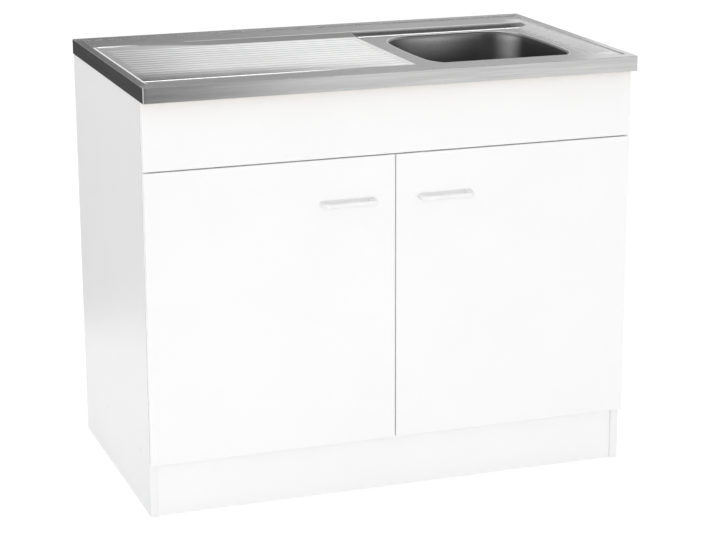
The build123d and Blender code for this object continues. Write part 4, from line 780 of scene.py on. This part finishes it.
def sink_bowl(mesh, grid, xs, ys):
    """The bowl, from the hole's edge over the lip down to the waste hole."""
    hole_i = [i for i, x in enumerate(xs) if HOLE[0] - HOLE_SLACK < x < HOLE[1] + HOLE_SLACK]
    hole_j = [j for j, y in enumerate(ys) if HOLE[2] - HOLE_SLACK < y < HOLE[3] + HOLE_SLACK]
    ring = [(i, hole_j[0]) for i in hole_i] + [(hole_i[-1], j) for j in hole_j[1:]]
    ring += [(i, hole_j[-1]) for i in reversed(hole_i[:-1])]
    ring += [(hole_i[0], j) for j in reversed(hole_j[1:-1])]
    edge = [(xs[i], ys[j]) for i, j in ring]
    previous = [grid[key] for key in ring]
    rows = bowl_profile()
    for shrink, z in rows:
        loop = [mesh.verts.new((*bowl_point(x, y, shrink), z)) for x, y in edge]
        bridge(mesh, previous, loop)
        previous = loop
    shrink, z = rows[-1]
    outline = [bowl_point(x, y, shrink) for x, y in edge]
    for share in (0.15, 0.35, 0.6, 0.85, 0.98, 1.0):
        loop = []
        for x, y in outline:
            dx, dy = x - BOWL_X, y - BOWL_Y
            size = math.hypot(dx, dy)
            to_x, to_y = BOWL_X + dx / size * WASTE_HOLE_R, BOWL_Y + dy / size * WASTE_HOLE_R
            loop.append(mesh.verts.new((x + (to_x - x) * share, y + (to_y - y) * share, z)))
        bridge(mesh, previous, loop)
        previous = loop


def sink_apron(mesh, grid, xs, ys):
    """The folded apron, round at the plan corners, under the grid's outer edge."""
    last_i, last_j = len(xs) - 1, len(ys) - 1
    rim = [(i, 0) for i in range(last_i)] + [(last_i, j) for j in range(last_j)]
    rim += [(i, last_j) for i in range(last_i, 0, -1)] + [(0, j) for j in range(last_j, 0, -1)]
    for vert in grid.values():
        (x, y), _ = rounded(vert.co.x, vert.co.y)
        vert.co.x, vert.co.y = x, y
    places, outward = [], []
    for i, j in rim:
        place, normal = rounded(xs[i], ys[j])
        if normal is None and i in (0, last_i):
            normal = (math.copysign(1, xs[i]), 0.0)
        elif normal is None:
            normal = (0.0, math.copysign(1, ys[j]))
        places.append(place)
        outward.append(normal)
        grid[i, j].co = (*place, RIM_Z)
    profile = [(EDGE_R * math.sin(a), RIM_Z - EDGE_R * (1 - math.cos(a)))
               for a in spread(0, math.pi / 2, 5)[1:]]
    profile += [(EDGE_R, z) for z in (
        RIM_Z - EDGE_R - EDGE_ROW, APRON_FOOT + APRON_EDGE, APRON_FOOT)]
    previous = [grid[key] for key in rim]
    for reach, z in profile:
        loop = [mesh.verts.new((x + nx * reach, y + ny * reach, z))
                for (x, y), (nx, ny) in zip(places, outward)]
        bridge(mesh, previous, loop)
        previous = loop


def make_sink():
    """The sink in one pressing: a folded sheet with a brushed top, a drawn bowl and its lip."""
    mesh = bmesh.new()
    xs, ys = sink_grid_lines()
    grid = sheet_grid(mesh, xs, ys)
    sink_bowl(mesh, grid, xs, ys)
    sink_apron(mesh, grid, xs, ys)
    piece = finish_mesh(
        "sink_shell", mesh, "cabinet", SINK_NODES, LOOKS["steel_x"], 50.0)
    thick = piece.modifiers.new("sheet", "SOLIDIFY")
    thick.thickness = SHEET * MM
    thick.offset = -1.0
    for look_name in ("steel_y", "steel_bowl", "steel_lip_highlight"):
        piece.data.materials.append(LOOKS[look_name])
    end_zone, sideways = 3.0, 0.7       # the aprons at both ends
    lip_top = BASIN_Z - 0.08 * LIP_R
    for polygon in piece.data.polygons:
        middle, normal = polygon.center / MM, polygon.normal
        in_plan = abs(middle.x) < RIM_X and abs(middle.y) < RIM_Y
        if abs(normal.x) > sideways and abs(middle.x) > HALF_X - end_zone:
            polygon.material_index = 1
        # the bowl below its lip gets painted shade and painted highlights
        elif middle.z < lip_top and in_plan:
            polygon.material_index = 2
        # the ring round the mouth gets the painted highlight
        elif near_mouth(middle):
            polygon.material_index = 3


def near_mouth(place):
    """Whether a point of the basin lies on the ring round the bowl's mouth."""
    half_x, half_y = (half + LIP_R + LIP_RING for half in BOWL_HALF)
    over_x = max(0.0, abs(place.x - BOWL_X) - STRAIGHT_X)
    over_y = max(0.0, abs(place.y - BOWL_Y) - STRAIGHT_Y)
    narrow = 1 - BOWL_BOW / BOWL_HALF[0] * min(1.0, abs(place.y - BOWL_Y) / BOWL_HALF[1]) ** 2
    inside_x = abs(place.x - BOWL_X) < half_x * narrow
    inside_y = abs(place.y - BOWL_Y) < half_y
    in_corner = math.hypot(over_x / narrow, over_y) < BOWL_CORNER + LIP_R + LIP_RING
    return inside_x and inside_y and in_corner


make_sink()


# ---- handles -----------------------------------------------------------------------------------
def bow_line(half_length, depth, radius):
    """One side line of a bow handle: up a post, round its corner, along the bar and back."""
    post = [(-half_length, -d) for d in spread(0, depth - radius, 5)]
    post += [(-half_length + radius * (1 - math.cos(a)), -depth + radius * (1 - math.sin(a)))
             for a in spread(0, math.pi / 2, 9)[1:]]
    run = half_length - radius
    bar = [(x, -depth) for x in spread(-run, run, 16)[1:]]
    return post + bar + [(-x, y) for x, y in reversed(post[:-1])]


def make_handle(side):
    """A smooth bow handle lofted between an outer and an inner line."""
    low, high = node_box("handle_" + side)
    middle_x, middle_z = (low[0] + high[0]) / 2, (low[2] + high[2]) / 2
    seat, reach = high[1], high[1] - low[1] - INSIDE
    half = (high[0] - low[0]) / 2 - INSIDE
    half_z = (high[2] - low[2]) / 2 - INSIDE
    foot, bar, outer_r, inner_r, round_r = 12.0, 8.0, 11.0, 5.0, 3.4
    outer, inner = bow_line(half, reach, outer_r), bow_line(half - foot, reach - bar, inner_r)
    mesh = bmesh.new()
    loops = []
    for (ox, oy), (ix, iy) in zip(outer, inner):
        width = math.hypot(ox - ix, oy - iy) / 2
        ux, uy = (ox - ix) / (2 * width), (oy - iy) / (2 * width)
        cx, cy = (ox + ix) / 2, (oy + iy) / 2
        loop = []
        for quadrant in range(4):
            for step in range(5):
                angle = math.pi / 2 * (quadrant + step / 4)
                sign_w = 1 if quadrant in (0, 3) else -1
                sign_z = 1 if quadrant in (0, 1) else -1
                w = sign_w * (width - round_r) + round_r * math.cos(angle)
                z = sign_z * (half_z - round_r) + round_r * math.sin(angle)
                loop.append(mesh.verts.new(
                    (middle_x + cx + ux * w, seat + cy + uy * w, middle_z + z)))
        loops.append(loop)
    for loop_a, loop_b in zip(loops, loops[1:]):
        bridge(mesh, loop_a, loop_b)
    mesh.faces.new(loops[0])
    mesh.faces.new(loops[-1])
    finish_mesh(
        "bow_handle_" + side, mesh, "door_" + side, ("handle_" + side,),
        LOOKS["plastic"], 60.0)


for side in ("left", "right"):
    make_handle(side)


# ---- ribbed union nuts and trap cup ------------------------------------------------------------
def ribbed_ring(node, axis, ribs, depth, rows, bore_rows, name):
    """A grip ring turned about an axis: a row is (radius, share along the node, ribbed)."""
    low, high = node_box(node)
    centre = [(a + b) / 2 for a, b in zip(low, high)]
    u, v = [k for k in range(3) if k != axis]
    mesh = bmesh.new()
    steps = ribs * 6
    loops = []
    for radius, share, ribbed in rows + bore_rows:
        loop = []
        for step in range(steps):
            angle = 2 * math.pi * step / steps
            wave = ease(0.5 + 0.75 * math.cos(angle * ribs)) if ribbed else 1.0
            r = radius - depth * (1 - wave) if ribbed else radius
            place = list(centre)
            place[u] += r * math.cos(angle)
            place[v] += r * math.sin(angle)
            place[axis] = low[axis] + (high[axis] - low[axis]) * share
            loop.append(mesh.verts.new(place))
        loops.append(loop)
    for loop_a, loop_b in zip(loops, loops[1:]):
        bridge(mesh, loop_a, loop_b)
    bridge(mesh, loops[-1], loops[0])
    finish_mesh(name, mesh, "cabinet", (node,), LOOKS["trap"], 40.0)


ribbed_ring(
    "trap_nut", 2, 20, 1.6,
    [(26.5, 0.0, False), (28.0, 0.04, False), (28.95, 0.1, True), (28.95, 0.84, True),
     (28.0, 0.97, False), (26.5, 1.0, False)],
    [(23.75, 1.0, False), (23.75, 0.1, False), (20.3, 0.05, False), (20.3, 0.0, False)],
    "union_nut_upper")
ribbed_ring(
    "trap_outlet_nut", 1, 20, 1.6,
    [(25.5, 1.0, False), (27.0, 0.96, False), (27.95, 0.88, True), (27.95, 0.14, True),
     (27.0, 0.04, False), (25.5, 0.0, False)],
    [(23.75, 0.0, False), (23.75, 0.6, False), (20.3, 0.66, False), (20.3, 1.0, False)],
    "union_nut_outlet")
ribbed_ring(
    "trap_cup", 2, 24, 2.0,
    [(24.0, 0.0, False), (31.5, 0.01, False), (35.0, 0.1, False), (39.0, 0.24, True),
     (39.45, 0.3, True), (39.45, 0.9, True), (38.2, 0.97, False), (37.0, 1.0, False)],
    [(36.25, 1.0, False), (36.25, 0.55, False), (31.0, 0.5, False), (29.0, 0.09, False),
     (24.0, 0.08, False)],
    "bottle_cup")


# ---- floor, light and camera --------------------------------------------------------------------
def card(name, faces, strength, hidden=True, across=None):
    """A stage sheet that glows; across is (x0, x1, other strength) of an even change along X."""
    mesh = bmesh.new()
    for corners in faces:
        mesh.faces.new([mesh.verts.new(corner) for corner in corners])
    data = bpy.data.meshes.new(name)
    mesh.to_mesh(data)
    mesh.free()
    sheet = bpy.data.objects.new(name, data)
    bpy.context.scene.collection.objects.link(sheet)
    material = bpy.data.materials.new(name)
    material.use_nodes = True
    tree = material.node_tree
    tree.nodes.clear()
    glow = tree.nodes.new("ShaderNodeEmission")
    glow.inputs["Strength"].default_value = strength
    if across:
        place = tree.nodes.new("ShaderNodeTexCoord")
        split = tree.nodes.new("ShaderNodeSeparateXYZ")
        change = tree.nodes.new("ShaderNodeMapRange")
        tree.links.new(place.outputs["Object"], split.inputs[0])
        tree.links.new(split.outputs["X"], change.inputs["Value"])
        ends = ("From Min", "From Max", "To Max", "To Min")
        for key, value in zip(ends, (*across, strength)):
            change.inputs[key].default_value = value
        tree.links.new(change.outputs["Result"], glow.inputs["Strength"])
    out = tree.nodes.new("ShaderNodeOutputMaterial")
    tree.links.new(glow.outputs[0], out.inputs["Surface"])
    data.materials.append(material)
    if hidden:
        sheet.visible_camera = False
        sheet.visible_diffuse = False
        sheet.visible_shadow = False
        sheet.visible_transmission = False
    return sheet


def upright(x0, x1, y, z0, z1):
    """Corners of a sheet that faces along Y."""
    return [(x0, y, z0), (x1, y, z0), (x1, y, z1), (x0, y, z1)]


def level(x0, x1, y0, y1, z):
    """Corners of a flat sheet."""
    return [(x0, y0, z), (x1, y0, z), (x1, y1, z), (x0, y1, z)]


def floor():
    """A pale floor that shows white to the camera and in the metal, and keeps the shadow."""
    size, glow_strength, shown, bounced = 30.0, 0.53, 0.55, 0.69
    sheet = card("floor", [level(-size, size, -size, size, 0.0)], glow_strength, False)
    tree = sheet.data.materials[0].node_tree
    out = next(n for n in tree.nodes if n.type == "OUTPUT_MATERIAL")
    glow = next(n for n in tree.nodes if n.type == "EMISSION")
    diffuse = tree.nodes.new("ShaderNodeBsdfDiffuse")
    diffuse.inputs["Color"].default_value = (*grey(shown), 1)
    add = tree.nodes.new("ShaderNodeAddShader")
    plain = tree.nodes.new("ShaderNodeBsdfDiffuse")
    plain.inputs["Color"].default_value = (*grey(bounced), 1)
    pick = tree.nodes.new("ShaderNodeMixShader")
    tree.links.new(glow.outputs[0], add.inputs[0])
    tree.links.new(diffuse.outputs[0], add.inputs[1])
    tree.links.new(seen_directly(tree), pick.inputs["Fac"])
    tree.links.new(plain.outputs[0], pick.inputs[1])
    tree.links.new(add.outputs[0], pick.inputs[2])
    tree.links.new(pick.outputs[0], out.inputs["Surface"])


def seen_directly(tree):
    """1 for camera, glossy and transmission rays."""
    path = tree.nodes.new("ShaderNodeLightPath")
    total = path.outputs["Is Camera Ray"]
    for other in ("Is Glossy Ray", "Is Transmission Ray"):
        most = tree.nodes.new("ShaderNodeMath")
        most.operation = "MAXIMUM"
        tree.links.new(total, most.inputs[0])
        tree.links.new(path.outputs[other], most.inputs[1])
        total = most.outputs[0]
    return total


def world_light(ambient):
    """White to the camera and in reflections, an even ambient light otherwise."""
    world = bpy.data.worlds.new("studio")
    bpy.context.scene.world = world
    world.use_nodes = True
    tree = world.node_tree
    back = tree.nodes["Background"]
    back.inputs["Color"].default_value = (1, 1, 1, 1)
    blend = tree.nodes.new("ShaderNodeMapRange")
    blend.inputs["To Min"].default_value = ambient
    blend.inputs["To Max"].default_value = 1.0
    tree.links.new(seen_directly(tree), blend.inputs["Value"])
    tree.links.new(blend.outputs["Result"], back.inputs["Strength"])


def softbox(name, place, target, size, watts, spread_degrees=180.0):
    """A rectangular area light aimed at a point, which reflections don't show."""
    lamp = bpy.data.lights.new(name, "AREA")
    lamp.shape = "RECTANGLE"
    lamp.size, lamp.size_y = size
    lamp.energy = watts
    lamp.spread = math.radians(spread_degrees)
    holder = bpy.data.objects.new(name, lamp)
    holder.location = place
    holder.rotation_euler = (Vector(target) - Vector(place)).to_track_quat("-Z", "Y").to_euler()
    holder.visible_glossy = False
    bpy.context.scene.collection.objects.link(holder)


def camera(place, yaw, pitch, roll, lens):
    """The photo's view: yaw from +Y towards +X, pitch down and roll, in degrees."""
    data = bpy.data.cameras.new("camera")
    data.sensor_fit = "HORIZONTAL"
    data.sensor_width = 36.0
    data.lens = lens
    holder = bpy.data.objects.new("camera", data)
    yaw, pitch, roll = (math.radians(angle) for angle in (yaw, pitch, roll))
    ahead = Vector((
        math.sin(yaw) * math.cos(pitch), math.cos(yaw) * math.cos(pitch), -math.sin(pitch)))
    turn = ahead.to_track_quat("-Z", "Y")
    turn.rotate(Quaternion(ahead, roll))
    holder.rotation_mode = "QUATERNION"
    holder.rotation_quaternion = turn
    holder.location = place
    bpy.context.scene.collection.objects.link(holder)
    bpy.context.scene.camera = holder


floor()
world_light(0.86)
softbox("key", (-0.8, -5.4, 0.25), (0.0, 0.0, 0.5), (1.4, 0.2), 71.0)
softbox("front_top", (-1.0, -4.6, 2.6), (0.1, -0.3, 0.4), (1.6, 1.2), 6.0)
softbox("fill", (-3.0, 0.35, 1.5), (-0.5, 0.1, 1.2), (2.0, 1.5), 4.8, 80.0)
softbox("overhead", (0.0, 0.5, 4.0), (0.0, 0.0, 0.5), (3.0, 2.0), 40.0)
# Cards that only the metal reflects: behind, low for the flat deck, then a dark one for the
# ramp and a bright one for the thin lines
card("card_back", [upright(0.35, 3.4, 6.0, 0.9, 3.2)], 0.28, across=(0.8, 2.4, 0.56))
card("card_back_dark", [upright(-2.0, 5.0, 5.9, 3.85, 8.1)], 0.08)
card("card_high", [upright(-5.0, 6.0, 4.0, 5.9, 9.5)], 3.5)
# on the left for the left apron, in front for the front apron, and above for the bowl
card("card_left", [level(-5.0, -0.6, 1.0, 5.0, 0.02), upright(-5.0, -0.6, 5.0, 0.02, 2.2)], 0.09)
card("card_front", [level(-4.0, 3.4, -4.2, -2.4, 0.02), upright(-4.0, 3.4, -4.2, 0.02, 2.4)],
     0.25, across=(0.45, 1.05, 1.0))
card("card_top", [level(-5.0, 5.0, -6.0, 1.7, 4.6)], 0.32)
camera((-1.420, -4.086, 1.565), yaw=19.41, pitch=15.27, roll=0.22, lens=108.72)

bpy.context.scene.view_settings.view_transform = "Standard"
